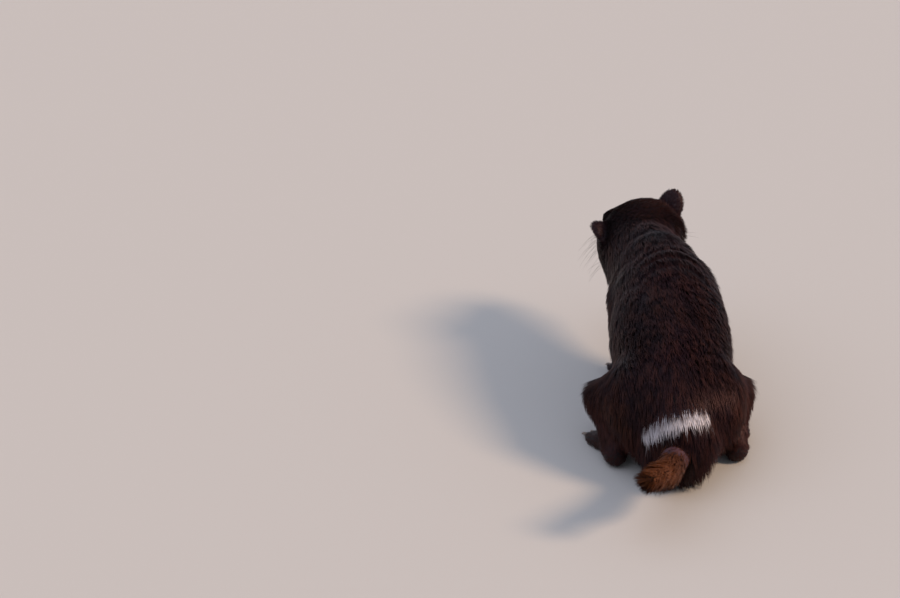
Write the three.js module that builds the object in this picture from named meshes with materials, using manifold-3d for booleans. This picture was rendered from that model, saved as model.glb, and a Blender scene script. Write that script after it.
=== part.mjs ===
// A Tasmanian devil, life size, crouched on its haunches and bracing on its forelegs.
// Millimetres, +Z up. The nose points to -Y, so the animal's right side is at -X.
// The flesh is one smooth field of rounded muscles, meshed piece by piece and parted by thin cuts.
import * as THREE from "three";
import { mergeVertices } from "three/addons/utils/BufferGeometryUtils.js";
import Module from "manifold-3d";

const wasm = await Module();
wasm.setup();

// Driving dimensions.
const GAP = 0.3; // clearance between neighbouring pieces
const SHORT_EDGES = [0.05, 0.03, 0.015, 0.08, 0.12]; // limits tried for an edge too short to keep
const NUDGES = [0, 0.7, 1.3, 2.1, 2.9, 3.6, 4.4, 5.2]; // steps tried for the grid of a mesh
const FLOOR = 0; // level of the ground that the rump and the feet press on
const SPREAD = 1; // stance width factor of the hind legs
const PELVIS = -11; // how far the pelvis lies to the right of the tail root
const CHEST = 8; // how far the chest lies to the right of the tail root
const TOE_RADIUS = 6.4;
const TOE_LENGTH = 29;
const TOE_PITCH = 7.2; // spacing of the toes at their roots
const TAIL_LENGTH = 152;
const TAIL_ROOT_RADIUS = 21;
const TAIL_TIP_RADIUS = 10;
const HEAD_YAW = 15; // degrees that the face turns to the animal's left
const HEAD_PITCH = -9; // degrees that the face drops
const HEAD_ROLL = 15; // degrees that the left cheek drops
const EYE_RADIUS = 7.2;
const EYE_DEPTH = 0.84; // share of the radius that the eye's middle lies under the skin
const LID_WIDTH = 1.9; // half the width of each eyelid
const LID_THICKNESS = 1.5;
const EAR_HEIGHT = 47;
const EAR_WIDTH = 41;
const EAR_WALL = 3.4;
const EAR_LEAN = 36; // degrees that each ear leans outward
const EAR_OPEN = 56; // degrees that the mouth of each ear turns outward
const CLAW_LENGTH = 15;
const CLAW_RADIUS = 2.6;
const LOCK_COUNT = 19; // locks of hair in the brush at the tail's end
const LOCK_LENGTH = 34;
const LOCK_WIDTH = 5; // half the width of a lock where it is broadest
const LOCK_SEED = 7;

// Mesh step of each region of flesh.
const STEP = { trunk: 18, head: 9.5, tail: 10, limb: 12, foot: 7.7 };

// A point given as distances forward of the tail root, to the animal's right, and up.
const at = (forward, right, up) => new THREE.Vector3(-right, -forward, up);
const toward = (forward, right, up) => at(forward, right, up).normalize();
const rad = THREE.MathUtils.degToRad;

// The head has a frame of its own, set between the ears.
const HEAD_AT = at(452, -2.5, 190);
const headFrame = new THREE.Matrix4()
  .makeTranslation(HEAD_AT)
  .multiply(new THREE.Matrix4().makeRotationZ(rad(HEAD_YAW)))
  .multiply(new THREE.Matrix4().makeRotationX(rad(-HEAD_PITCH)))
  .multiply(new THREE.Matrix4().makeRotationY(rad(HEAD_ROLL)));
const headTurn = new THREE.Quaternion().setFromRotationMatrix(headFrame);
const onHead = (forward, right, up) => at(forward, right, up).applyMatrix4(headFrame);

// Fields of distance: each takes a point and gives its distance to a rounded form, negative inside.

// A limb that tapers from radius ra at a to rb at b.
function limb(a, b, ra, rb) {
  const along = b.clone().sub(a);
  const square = along.lengthSq();
  const offset = new THREE.Vector3();
  return (p) => {
    offset.subVectors(p, a);
    const t = THREE.MathUtils.clamp(offset.dot(along) / square, 0, 1);
    return offset.addScaledVector(along, -t).length() - THREE.MathUtils.lerp(ra, rb, t);
  };
}

// An ellipsoid with the given half sizes across, forward and up, turned by a quaternion.
function lump(centre, across, forward, up, turn = new THREE.Quaternion()) {
  const back = turn.clone().invert();
  const q = new THREE.Vector3();
  return (p) => {
    q.subVectors(p, centre).applyQuaternion(back);
    const x = q.x / across;
    const y = q.y / forward;
    const z = q.z / up;
    const scaled = Math.hypot(x, y, z);
    const slope = Math.hypot(x / across, y / forward, z / up);
    return slope < 1e-9 ? -Math.min(across, forward, up) : (scaled * (scaled - 1)) / slope;
  };
}

// A trunk swept through stations, each with its half width and its reach up and down.
function sweep(stations, perSpan = 6) {
  const centres = new THREE.CatmullRomCurve3(stations.map((s) => s.at));
  const spans = stations.length - 1;
  const rows = [];
  for (let i = 0; i <= spans * perSpan; i++) {
    const t = i / (spans * perSpan);
    const k = Math.min(Math.floor(t * spans), spans - 1);
    const s = t * spans - k;
    const ease = s * s * (3 - 2 * s);
    const mix = (key) => THREE.MathUtils.lerp(stations[k][key], stations[k + 1][key], ease);
    rows.push({ at: centres.getPoint(t), wide: mix("wide"), up: mix("up"), down: mix("down") });
  }
  const offset = new THREE.Vector3();
  const along = new THREE.Vector3();
  const side = new THREE.Vector3();
  const lift = new THREE.Vector3();
  const UP = new THREE.Vector3(0, 0, 1);
  return (p) => {
    let best = Infinity;
    for (let i = 0; i < rows.length - 1; i++) {
      along.subVectors(rows[i + 1].at, rows[i].at);
      offset.subVectors(p, rows[i].at);
      const t = THREE.MathUtils.clamp(offset.dot(along) / along.lengthSq(), 0, 1);
      offset.addScaledVector(along, -t);
      along.normalize();
      side.crossVectors(along, UP).normalize();
      lift.crossVectors(side, along);
      const across = offset.dot(side);
      const high = offset.dot(lift);
      const wide = THREE.MathUtils.lerp(rows[i].wide, rows[i + 1].wide, t);
      const key = high > 0 ? "up" : "down";
      const tall = THREE.MathUtils.lerp(rows[i][key], rows[i + 1][key], t);
      const round = Math.min(wide, tall);
      const x = across / wide;
      const z = high / tall;
      const y = offset.dot(along) / round;
      const scaled = Math.hypot(x, y, z);
      const slope = Math.hypot(x / wide, y / round, z / tall);
      const d = slope < 1e-9 ? -round : (scaled * (scaled - 1)) / slope;
      if (d < best) best = d;
    }
    return best;
  };
}

// Joins fields with a fillet of about the given width.
function blend(width, ...fields) {
  return (p) => {
    let d = fields[0](p);
    for (let i = 1; i < fields.length; i++) {
      const other = fields[i](p);
      const h = Math.max(width - Math.abs(d - other), 0) / width;
      d = Math.min(d, other) - (h * h * width) / 4;
    }
    return d;
  };
}

// The trunk from the rump to the nape.
const station = (forward, right, up, wide, rise, fall) => ({
  at: at(forward, right, up),
  wide,
  up: rise,
  down: fall,
});
const trunkStations = [
  station(34, -14, 74, 55, 60, 76),
  station(82, -11, 90, 70, 78, 94),
  station(142, -4, 110, 79, 84, 96),
  station(208, 3, 127, 85, 88, 92),
  station(270, 8, 141, 80, 90, 90),
  station(325, 4, 152, 65, 87, 88),
  station(372, -4, 162, 56, 73, 80),
  station(420, -4, 172, 59, 60, 68),
];
const trunk = sweep(trunkStations);

// The head: cranium, cheeks, brow, muzzle, lips and lower jaw.
function headField() {
  const forms = [
    lump(onHead(0, 0, 4), 53, 47, 43, headTurn),
    lump(onHead(38, 0, 4), 37, 42, 28, headTurn),
    limb(onHead(44, 0, -6), onHead(87, 0, -8), 30, 20.5),
    limb(onHead(12, 0, -38), onHead(83, 0, -31), 26, 13),
  ];
  for (const side of [-1, 1]) {
    forms.push(lump(onHead(6, side * 37, -12), 28, 42, 37, headTurn));
    forms.push(limb(onHead(18, side * 30, -14), onHead(62, side * 17, -12), 27, 18));
    forms.push(limb(onHead(36, side * 27, 22), onHead(60, side * 20, 19), 9, 6));
    forms.push(limb(onHead(54, side * 18, -17), onHead(93, side * 9, -16), 14, 11.5));
  }
  return blend(10, ...forms);
}

// One hind leg folded under the haunch, sole flat on the ground. The pelvis sits a little to the left.
function hindLeg(side, spread) {
  const out = side * spread;
  const hip = at(96, PELVIS + 48 * out, 104);
  const knee = at(150, PELVIS + 94 * out, 68);
  const heel = at(75, PELVIS + 87 * out, 17);
  const ball = at(128, PELVIS + 96 * out, 11);
  const heading = toward(1, 0.16 * side, 0);
  return {
    side,
    heading,
    joints: [hip, knee, heel, ball],
    upper: blend(18, limb(hip, knee, 46, 28), lump(at(86, PELVIS + 58 * out, 84), 36, 50, 46)),
    lower: limb(knee, heel, 24, 13.5),
    foot: blend(7, limb(heel, ball, 13, 11), ...toes(ball, heading, side, 4)),
  };
}

// One foreleg, elbow close to the chest, palm flat on the ground.
function foreLeg(side, reach) {
  const shoulder = at(318, CHEST + 38 * side, 136);
  const elbow = at(292, CHEST + 47 * side, 86);
  const wrist = at(317 + reach, CHEST + 35 * side, 27);
  const palm = at(333 + reach, CHEST + 35 * side, 11);
  const heading = toward(1, 0.06 * side, 0);
  return {
    side,
    heading,
    joints: [shoulder, elbow, wrist, palm],
    upper: blend(14, limb(shoulder, elbow, 35, 24), lump(shoulder, 29, 42, 48)),
    lower: blend(8, limb(elbow, wrist, 22, 13.5), limb(wrist, palm, 13.5, 12.5)),
    foot: blend(7, limb(wrist, palm, 13.5, 12.5), ...toes(palm, heading, side, 5)),
  };
}

// The toes of one foot, fanned about the given heading. Each ends in its pad.
function toeLines(palm, heading, side, count) {
  const lines = [];
  for (let i = 0; i < count; i++) {
    const inner = count === 5 && i === 0;
    const place = i - (count - 1) / 2;
    const turn = rad(-place * (count === 5 ? 11 : 9) * side);
    const along = heading.clone().applyAxisAngle(new THREE.Vector3(0, 0, 1), turn);
    const across = new THREE.Vector3(-heading.y, heading.x, 0).multiplyScalar(-place * side * TOE_PITCH);
    const length = TOE_LENGTH * (inner ? 0.6 : 1) - 2.2 * Math.abs(place);
    const root = palm.clone().add(across);
    root.z = TOE_RADIUS + 2.5;
    const tip = root.clone().addScaledVector(along, length);
    tip.z = TOE_RADIUS - 0.6;
    lines.push({ root, tip, along });
  }
  return lines;
}
function toes(palm, heading, side, count) {
  return toeLines(palm, heading, side, count).map((t) =>
    limb(t.root, t.tip, TOE_RADIUS + 1, TOE_RADIUS),
  );
}

// The tail: thick at the root, held stiffly back, a little raised and bent to the left.
const TAIL_ROOT = at(10, -16, 60);
const tailCurve = new THREE.QuadraticBezierCurve3(
  TAIL_ROOT,
  TAIL_ROOT.clone().add(at(-TAIL_LENGTH * 0.46, -20, -4)),
  TAIL_ROOT.clone().add(at(-TAIL_LENGTH * 0.92, -62, 31)),
);
const tailRadius = (t) => THREE.MathUtils.lerp(TAIL_ROOT_RADIUS, TAIL_TIP_RADIUS, Math.pow(t, 1.6));
function tailField() {
  const pieces = 5;
  const forms = [];
  for (let i = 0; i < pieces; i++) {
    const a = i / pieces;
    const b = (i + 1) / pieces;
    forms.push(limb(tailCurve.getPoint(a), tailCurve.getPoint(b), tailRadius(a), tailRadius(b)));
  }
  return blend(4, ...forms);
}

const legs = {
  hind_right: hindLeg(1, SPREAD * 1.02),
  hind_left: hindLeg(-1, SPREAD * 0.9),
  fore_right: foreLeg(1, 0),
  fore_left: foreLeg(-1, 14),
};
const head = headField();
const tail = tailField();
const body = blend(20, trunk, head, ...Object.values(legs).map((leg) => leg.upper));
const lowerLegs = Object.values(legs).map((leg) => blend(9, leg.lower, leg.foot));
const flesh = blend(12, body, ...lowerLegs, tail);

// Meshes the surface of a field inside a box: one vertex in each cell that the surface crosses.
function meshField(field, box, step) {
  const size = box.getSize(new THREE.Vector3());
  const n = [size.x, size.y, size.z].map((s) => Math.ceil(s / step) + 1);
  const inBox = (p) => {
    const inside = Math.min(
      p.x - box.min.x,
      box.max.x - p.x,
      p.y - box.min.y,
      box.max.y - p.y,
      p.z - box.min.z,
      box.max.z - p.z,
    );
    return step * 0.75 - inside;
  };
  const closed = (p) => Math.max(field(p), inBox(p));
  const place = (i, j, k) =>
    new THREE.Vector3(box.min.x + i * step, box.min.y + j * step, box.min.z + k * step);
  const index = (i, j, k) => (k * (n[1] + 1) + j) * (n[0] + 1) + i;
  const value = new Float64Array((n[0] + 1) * (n[1] + 1) * (n[2] + 1));
  for (let k = 0; k <= n[2]; k++)
    for (let j = 0; j <= n[1]; j++)
      for (let i = 0; i <= n[0]; i++) value[index(i, j, k)] = closed(place(i, j, k));
  fillPinches(value, n, index, step);

  const corners = [0, 1, 2, 3, 4, 5, 6, 7].map((c) => [c & 1, (c >> 1) & 1, (c >> 2) & 1]);
  const edges = [];
  for (let a = 0; a < 8; a++)
    for (const bit of [1, 2, 4]) if (!(a & bit)) edges.push([a, a | bit]);
  const cellVertex = new Map();
  const positions = [];
  for (let k = 0; k < n[2]; k++)
    for (let j = 0; j < n[1]; j++)
      for (let i = 0; i < n[0]; i++) {
        const v = corners.map(([x, y, z]) => value[index(i + x, j + y, k + z)]);
        const sum = new THREE.Vector3();
        let crossings = 0;
        for (const [a, b] of edges) {
          if (v[a] < 0 === v[b] < 0) continue;
          const t = v[a] / (v[a] - v[b]);
          const pa = place(i + corners[a][0], j + corners[a][1], k + corners[a][2]);
          const pb = place(i + corners[b][0], j + corners[b][1], k + corners[b][2]);
          sum.add(pa.lerp(pb, t));
          crossings++;
        }
        if (!crossings) continue;
        const p = settle(sum.divideScalar(crossings), closed, step);
        cellVertex.set(index(i, j, k), positions.length / 3);
        positions.push(p.x, p.y, p.z);
      }

  const faces = [];
  const quad = (inside, a, b, c, d) => {
    const vs = [a, b, c, d].map((q) => cellVertex.get(q));
    const [p, q, r, s] = inside ? vs : [vs[3], vs[2], vs[1], vs[0]];
    const corner = (v) => new THREE.Vector3().fromArray(positions, v * 3);
    if (corner(p).distanceToSquared(corner(r)) < corner(q).distanceToSquared(corner(s)))
      faces.push(p, q, r, p, r, s);
    else faces.push(q, r, s, q, s, p);
  };
  for (let k = 0; k < n[2]; k++)
    for (let j = 0; j < n[1]; j++)
      for (let i = 0; i < n[0]; i++) {
        const inside = value[index(i, j, k)] < 0;
        if (j && k && inside !== value[index(i + 1, j, k)] < 0)
          quad(inside, index(i, j - 1, k - 1), index(i, j, k - 1), index(i, j, k), index(i, j - 1, k));
        if (i && k && inside !== value[index(i, j + 1, k)] < 0)
          quad(inside, index(i - 1, j, k - 1), index(i - 1, j, k), index(i, j, k), index(i, j, k - 1));
        if (i && j && inside !== value[index(i, j, k + 1)] < 0)
          quad(inside, index(i - 1, j - 1, k), index(i, j - 1, k), index(i, j, k), index(i - 1, j, k));
      }
  const geometry = new THREE.BufferGeometry();
  geometry.setAttribute("position", new THREE.Float32BufferAttribute(positions, 3));
  geometry.setIndex(faces);
  return geometry;
}

// Fills the grid corners where two sheets of the surface would meet along one edge: those faces of a
// grid cell with two opposite corners inside and the other two outside.
function fillPinches(value, n, index, step) {
  const units = [index(1, 0, 0), index(0, 1, 0), index(0, 0, 1)];
  const pairs = [
    [0, 1],
    [1, 2],
    [2, 0],
  ];
  let changed = true;
  while (changed) {
    changed = false;
    for (let k = 0; k < n[2]; k++)
      for (let j = 0; j < n[1]; j++)
        for (let i = 0; i < n[0]; i++)
          for (const [a, b] of pairs) {
            const first = index(i, j, k);
            const face = [first, first + units[a], first + units[a] + units[b], first + units[b]];
            const [p, q, r, s] = face.map((f) => value[f] < 0);
            if (p !== r || q !== s || p === q) continue;
            const outside = face.filter((f) => value[f] >= 0);
            const nearest = value[outside[0]] < value[outside[1]] ? outside[0] : outside[1];
            value[nearest] = -step * 0.05;
            changed = true;
          }
  }
}

// Slides a vertex onto the surface along the field's slope, by at most half a cell.
function settle(start, field, step) {
  const p = start.clone();
  const probe = new THREE.Vector3();
  const h = step * 0.05;
  for (let round = 0; round < 3; round++) {
    const d = field(p);
    const slope = new THREE.Vector3(
      field(probe.copy(p).setX(p.x + h)) - d,
      field(probe.copy(p).setY(p.y + h)) - d,
      field(probe.copy(p).setZ(p.z + h)) - d,
    ).divideScalar(h);
    const steepness = slope.lengthSq();
    if (steepness < 0.05) break;
    p.addScaledVector(slope, -d / steepness);
  }
  const moved = p.clone().sub(start);
  return start.clone().add(moved.clampLength(0, step * 0.5));
}

// Solids for cutting and joining.
function solid(geometry) {
  const bare = geometry.clone();
  for (const name of Object.keys(bare.attributes))
    if (name !== "position") bare.deleteAttribute(name);
  const merged = mergeVertices(bare, 1e-4);
  const made = new wasm.Manifold(
    new wasm.Mesh({
      numProp: 3,
      vertProperties: merged.attributes.position.array,
      triVerts: new Uint32Array(merged.index.array),
    }),
  );
  return made;
}
// The faces of a solid once the ends of each edge shorter than the limit are drawn together.
function drawnTogether(coordinates, corners, limit) {
  const home = Array.from({ length: coordinates.length / 3 }, (_, i) => i);
  const find = (i) => (home[i] === i ? i : (home[i] = find(home[i])));
  const apart = (i, j) => {
    const offset = [0, 1, 2].map((axis) => coordinates[3 * i + axis] - coordinates[3 * j + axis]);
    return Math.hypot(...offset);
  };
  for (let f = 0; f < corners.length; f += 3)
    for (let k = 0; k < 3; k++) {
      const i = corners[f + k];
      const j = corners[f + ((k + 1) % 3)];
      if (apart(i, j) < limit) home[find(i)] = find(j);
    }
  const faces = new Map();
  for (let f = 0; f < corners.length; f += 3) {
    const face = [find(corners[f]), find(corners[f + 1]), find(corners[f + 2])];
    if (new Set(face).size < 3) continue;
    const key = [...face].sort((i, j) => i - j).join(" ");
    if (faces.has(key)) faces.delete(key);
    else faces.set(key, face);
  }
  return [...faces.values()];
}

// Whether each edge, known by the places of its ends, is shared by exactly two faces.
function isClosed(coordinates, faces) {
  const place = (i) => [0, 1, 2].map((axis) => Math.round(coordinates[3 * i + axis] * 1e4)).join(",");
  const uses = new Map();
  for (const face of faces)
    for (let k = 0; k < 3; k++) {
      const key = [place(face[k]), place(face[(k + 1) % 3])].sort().join(" ");
      uses.set(key, (uses.get(key) ?? 0) + 1);
    }
  return [...uses.values()].every((count) => count === 2);
}

// The surface of a solid, or nothing where none of the short-edge limits leaves it closed.
function geometryOf(made) {
  const { vertProperties: coordinates, triVerts: corners } = made.getMesh();
  for (const limit of SHORT_EDGES) {
    const faces = drawnTogether(coordinates, corners, limit);
    if (!isClosed(coordinates, faces)) continue;
    const geometry = new THREE.BufferGeometry();
    geometry.setAttribute("position", new THREE.BufferAttribute(new Float32Array(coordinates), 3));
    return geometry.setIndex(faces.flat());
  }
  return null;
}
function largest(made) {
  return made.decompose().reduce((a, b) => (b.volume() > a.volume() ? b : a));
}

// A convex cell of space behind some planes, grown outward by a margin.
// Each plane is given by a point on it and the direction that leads out of the cell.
function cell(planes, margin = 0) {
  const reach = 1600;
  let made = solid(new THREE.BoxGeometry(reach, reach, reach));
  for (const { through, out } of planes)
    made = made.trimByPlane([-out.x, -out.y, -out.z], -out.dot(through) - margin);
  return made;
}
const plane = (through, out) => ({ through, out: out.clone().normalize() });
const aboveFloor = plane(at(0, 0, FLOOR), new THREE.Vector3(0, 0, -1));

const boxAbout = (points, margin) => new THREE.Box3().setFromPoints(points).expandByScalar(margin);

const finish = {
  coat: new THREE.MeshStandardMaterial({ color: 0x2a1716, roughness: 0.62, metalness: 0 }),
  ear: new THREE.MeshStandardMaterial({ color: 0x4a2328, roughness: 0.6, metalness: 0 }),
  eye: new THREE.MeshStandardMaterial({ color: 0x0c0706, roughness: 0.08, metalness: 0 }),
  nose: new THREE.MeshStandardMaterial({ color: 0x1c1212, roughness: 0.4, metalness: 0 }),
};
const group = new THREE.Group();
// Adds a piece. It is made with the mesh's grid moved by a small step until its surface is closed.
function add(name, make, material) {
  for (const nudge of NUDGES) {
    const geometry = geometryOf(largest(make(nudge)));
    if (!geometry) continue;
    const mesh = new THREE.Mesh(geometry, material);
    mesh.name = name;
    group.add(mesh);
    return;
  }
  throw new Error(`the surface of ${name} stays open`);
}

// The flesh about some points. The grid has the same origin for every piece, so that pieces with
// the same step meet along one surface.
function fleshNear(points, margin, step, nudge) {
  const box = boxAbout(points, margin);
  for (const axis of ["x", "y", "z"]) box.min[axis] = Math.floor(box.min[axis] / step) * step + nudge;
  return solid(meshField(flesh, box, step));
}

// An oval zone of space with the given half sizes across, forward and up, grown outward by a margin.
function oval(centre, across, forward, up, turn = new THREE.Quaternion(), segments = 13) {
  return (margin) => {
    const geometry = new THREE.SphereGeometry(1, segments, Math.round(segments * 0.6));
    geometry.scale(across + margin, forward + margin, up + margin);
    geometry.applyQuaternion(turn);
    geometry.translate(centre.x, centre.y, centre.z);
    return solid(geometry);
  };
}

// A closed strip along a line of points: each row has its half width, its half thickness and the
// direction of its width. The first and last rows are closed by flat ends.
function strip(rows, sides = 6) {
  const positions = [];
  const faces = [];
  rows.forEach((row, i) => {
    const before = rows[Math.max(i - 1, 0)].at;
    const after = rows[Math.min(i + 1, rows.length - 1)].at;
    const along = after.clone().sub(before).normalize();
    const wide = row.across.clone().addScaledVector(along, -row.across.dot(along)).normalize();
    const thick = new THREE.Vector3().crossVectors(along, wide);
    for (let k = 0; k < sides; k++) {
      const turn = (k / sides) * 2 * Math.PI;
      const p = row.at
        .clone()
        .addScaledVector(wide, Math.cos(turn) * row.wide)
        .addScaledVector(thick, Math.sin(turn) * row.thick);
      positions.push(p.x, p.y, p.z);
    }
  });
  const last = (rows.length - 1) * sides;
  for (let i = 0; i < last; i += sides)
    for (let k = 0; k < sides; k++) {
      const next = (k + 1) % sides;
      faces.push(i + k, i + next, i + sides + next, i + k, i + sides + next, i + sides + k);
    }
  for (let k = 1; k < sides - 1; k++) {
    faces.push(0, k + 1, k);
    faces.push(last, last + k, last + k + 1);
  }
  const geometry = new THREE.BufferGeometry();
  geometry.setAttribute("position", new THREE.Float32BufferAttribute(positions, 3));
  geometry.setIndex(faces);
  return solid(geometry);
}

// Parting zones. The head lies ahead of the nape plane and the neck ahead of the shoulder plane.
const nape = plane(onHead(-34, 0, 0), toward(-1, 0, -0.6).applyQuaternion(headTurn));
const collar = plane(at(362, 4, 163), toward(-1, 0, -0.22));
const throat = plane(at(362, 4, 72), toward(0, 0, -1));
const neckZone = (grow) => cell([collar, throat], grow);
const TAIL_JOINT = 0.17; // share of the tail's length where it leaves the rump
const tailJoint = plane(tailCurve.getPoint(TAIL_JOINT), tailCurve.getTangent(TAIL_JOINT).negate());

// Leg zones: the haunch or shoulder is an oval on the flank, the lower leg is an oval below the knee
// or elbow, and the foot is all that lies below the ankle or wrist. Each oval is given by its half
// sizes across, forward and up.
const HAUNCH = { at: at(112, PELVIS, 62), out: 94, size: [68, 92, 76], turn: -14 };
const SHANK = { out: 10, size: [46, 78, 64], top: 16, slope: -0.45 };
const SHOULDER = { at: at(306, CHEST, 104), out: 78, size: [52, 54, 66] };
const FOREARM = { out: 7, size: [31, 46, 66], top: 3, slope: 0.3 };
const HIND_INNER = 54; // how far out from the pelvis the zone of a hind foot begins
const FORE_INNER = 8;
const ANKLE_CUT = 8; // height of the ankle's cut above the heel's joint

function legZones(name) {
  const { side, joints } = legs[name];
  const hind = name.startsWith("hind");
  const [, bend, ankle] = joints;
  const middle = bend.clone().lerp(ankle, 0.5);
  const outward = (distance) => at(0, distance * side, 0);
  const root = hind ? HAUNCH : SHOULDER;
  const limbZone = hind ? SHANK : FOREARM;
  const turn = new THREE.Quaternion();
  if (hind) turn.setFromAxisAngle(new THREE.Vector3(0, 0, 1), rad(HAUNCH.turn * side));
  const lower = oval(middle.clone().add(outward(limbZone.out)), ...limbZone.size);
  const top = (hind ? middle : bend).clone().add(at(0, 0, limbZone.top));
  const lid = plane(top, toward(limbZone.slope, 0, 1));
  const inner = plane(
    at(0, (hind ? PELVIS : CHEST) + (hind ? HIND_INNER : FORE_INNER) * side, 20),
    toward(0, -side, 0.25),
  );
  const footPlanes = hind
    ? [
        inner,
        plane(ankle.clone().add(at(0, 0, ANKLE_CUT)), toward(0.12, 0, 1)),
        plane(at(230, 0, 0), toward(1, 0, 0)),
      ]
    : [
        inner,
        plane(ankle.clone().add(at(0, 0, -1)), toward(-0.3, 0, 1)),
        plane(at(240, 0, 0), toward(-1, 0, 0)),
      ];
  return {
    upper: oval(root.at.clone().add(outward(root.out)), ...root.size, turn),
    lower: (grow) =>
      lower(grow).trimByPlane([-lid.out.x, -lid.out.y, -lid.out.z], -lid.out.dot(lid.through) - grow),
    foot: (grow) => cell(footPlanes, grow),
  };
}

// A bent, tapered claw with its root inside the toe.
function claw(tip, along) {
  const rows = [];
  const count = 4;
  for (let i = 0; i < count; i++) {
    const t = i / (count - 1);
    const at = tip.clone().addScaledVector(along, TOE_RADIUS * 0.35 + CLAW_LENGTH * (t - 0.15));
    at.z += 2.6 + 1.2 * Math.sin(Math.PI * t) - 5.2 * t * t;
    const girth = CLAW_RADIUS * Math.pow(1 - t, 0.6) + 0.35;
    rows.push({ at, wide: girth * 0.7, thick: girth, across: new THREE.Vector3(-along.y, along.x, 0) });
  }
  return strip(rows);
}

const zones = Object.fromEntries(Object.keys(legs).map((name) => [name, legZones(name)]));

// The trunk piece: everything but the neck, tail and legs.
const TRUNK_REACH = [at(-70, -150, -20), at(440, 150, 290)];
add(
  "torso",
  (nudge) => {
    let made = fleshNear(TRUNK_REACH, 10, STEP.trunk, nudge).intersect(cell([aboveFloor]));
    made = made.subtract(neckZone(GAP)).subtract(cell([tailJoint], GAP));
    for (const { upper, lower, foot } of Object.values(zones))
      made = made.subtract(upper(GAP)).subtract(lower(GAP)).subtract(foot(GAP));
    return made;
  },
  finish.coat,
);

// The pieces of each leg.
for (const [name, { upper, lower, foot }] of Object.entries(zones)) {
  const { side, heading, joints } = legs[name];
  const [root, bend, ankle, palm] = joints;
  const hind = name.startsWith("hind");
  add(
    `${name}_${hind ? "thigh" : "upper_arm"}`,
    (nudge) => {
      const made = fleshNear([root, bend], 80, STEP.limb, nudge).intersect(upper(0));
      const parted = made.subtract(lower(GAP)).subtract(foot(GAP)).subtract(neckZone(GAP));
      return parted.intersect(cell([aboveFloor]));
    },
    finish.coat,
  );
  add(
    `${name}_${hind ? "shank" : "forearm"}`,
    (nudge) => {
      const made = fleshNear([bend, ankle], 50, STEP.limb, nudge).intersect(lower(0));
      return made.subtract(foot(GAP)).intersect(cell([aboveFloor]));
    },
    finish.coat,
  );
  add(
    `${name}_foot`,
    (nudge) => {
      let made = fleshNear([ankle, palm], 52, STEP.foot, nudge).intersect(foot(0));
      for (const toe of toeLines(palm, heading, side, hind ? 4 : 5))
        made = made.add(claw(toe.tip, toe.along));
      return made.intersect(cell([aboveFloor]));
    },
    finish.coat,
  );
}

// Neck and tail.
const NECK_REACH = [at(330, -110, 40), at(500, 110, 290)];
add(
  "neck",
  (nudge) =>
    fleshNear(NECK_REACH, 10, STEP.trunk, nudge).intersect(neckZone(0)).subtract(cell([nape], GAP)),
  finish.coat,
);

// A stream of repeatable random numbers from 0 to 1.
function randomStream(seed) {
  let state = seed;
  return () => {
    state = (state * 16807) % 2147483647;
    return state / 2147483647;
  };
}

// The locks of the tail's brush: flat, tapered and bent along the tail, rooted well inside it.
function brush() {
  const random = randomStream(LOCK_SEED);
  const vary = (amount) => 1 + amount * (2 * random() - 1);
  const golden = Math.PI * (3 - Math.sqrt(5));
  const locks = [];
  for (let i = 0; i < LOCK_COUNT; i++) {
    const share = i / (LOCK_COUNT - 1);
    const t = THREE.MathUtils.lerp(0.4, 0.97, share);
    const along = tailCurve.getTangent(t);
    const across = new THREE.Vector3().crossVectors(along, new THREE.Vector3(0, 0, 1)).normalize();
    const out = across.clone().applyAxisAngle(along, i * golden + 0.3 * random());
    const length = LOCK_LENGTH * vary(0.18);
    const depth = tailRadius(t) * THREE.MathUtils.lerp(0.72, 0.3, share * share);
    const root = tailCurve.getPoint(t).addScaledVector(out, depth);
    const flare = THREE.MathUtils.lerp(0.3, 0.12, share) * vary(0.4);
    const rows = [];
    const count = 4;
    for (let k = 0; k < count; k++) {
      const s = k / (count - 1);
      const at = root
        .clone()
        .addScaledVector(along, length * s)
        .addScaledVector(out, length * flare * (1.6 * s - 0.8 * s * s));
      const girth = LOCK_WIDTH * vary(0.1) * Math.pow(1 - s, 0.7) + 0.5;
      const wide = new THREE.Vector3().crossVectors(out, along);
      rows.push({ at, wide: girth, thick: girth * 0.42, across: wide });
    }
    locks.push(strip(rows, 4));
  }
  return locks;
}
add(
  "tail",
  (nudge) => {
    const core = fleshNear(tailCurve.getPoints(8), 40, STEP.tail, nudge).intersect(cell([tailJoint]));
    return brush().reduce((made, lock) => made.add(lock), core);
  },
  finish.coat,
);

// What is cut from the head or joined to it, in order.
const headWork = [];

// The point where a line from inside the head, in the head's own directions, comes out of the skin.
function onSkin(start, direction) {
  const out = at(...direction).normalize().applyQuaternion(headTurn);
  const p = onHead(...start);
  for (let i = 0; i < 60; i++) p.addScaledVector(out, -flesh(p) * 0.8);
  return { at: p, out };
}

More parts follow.
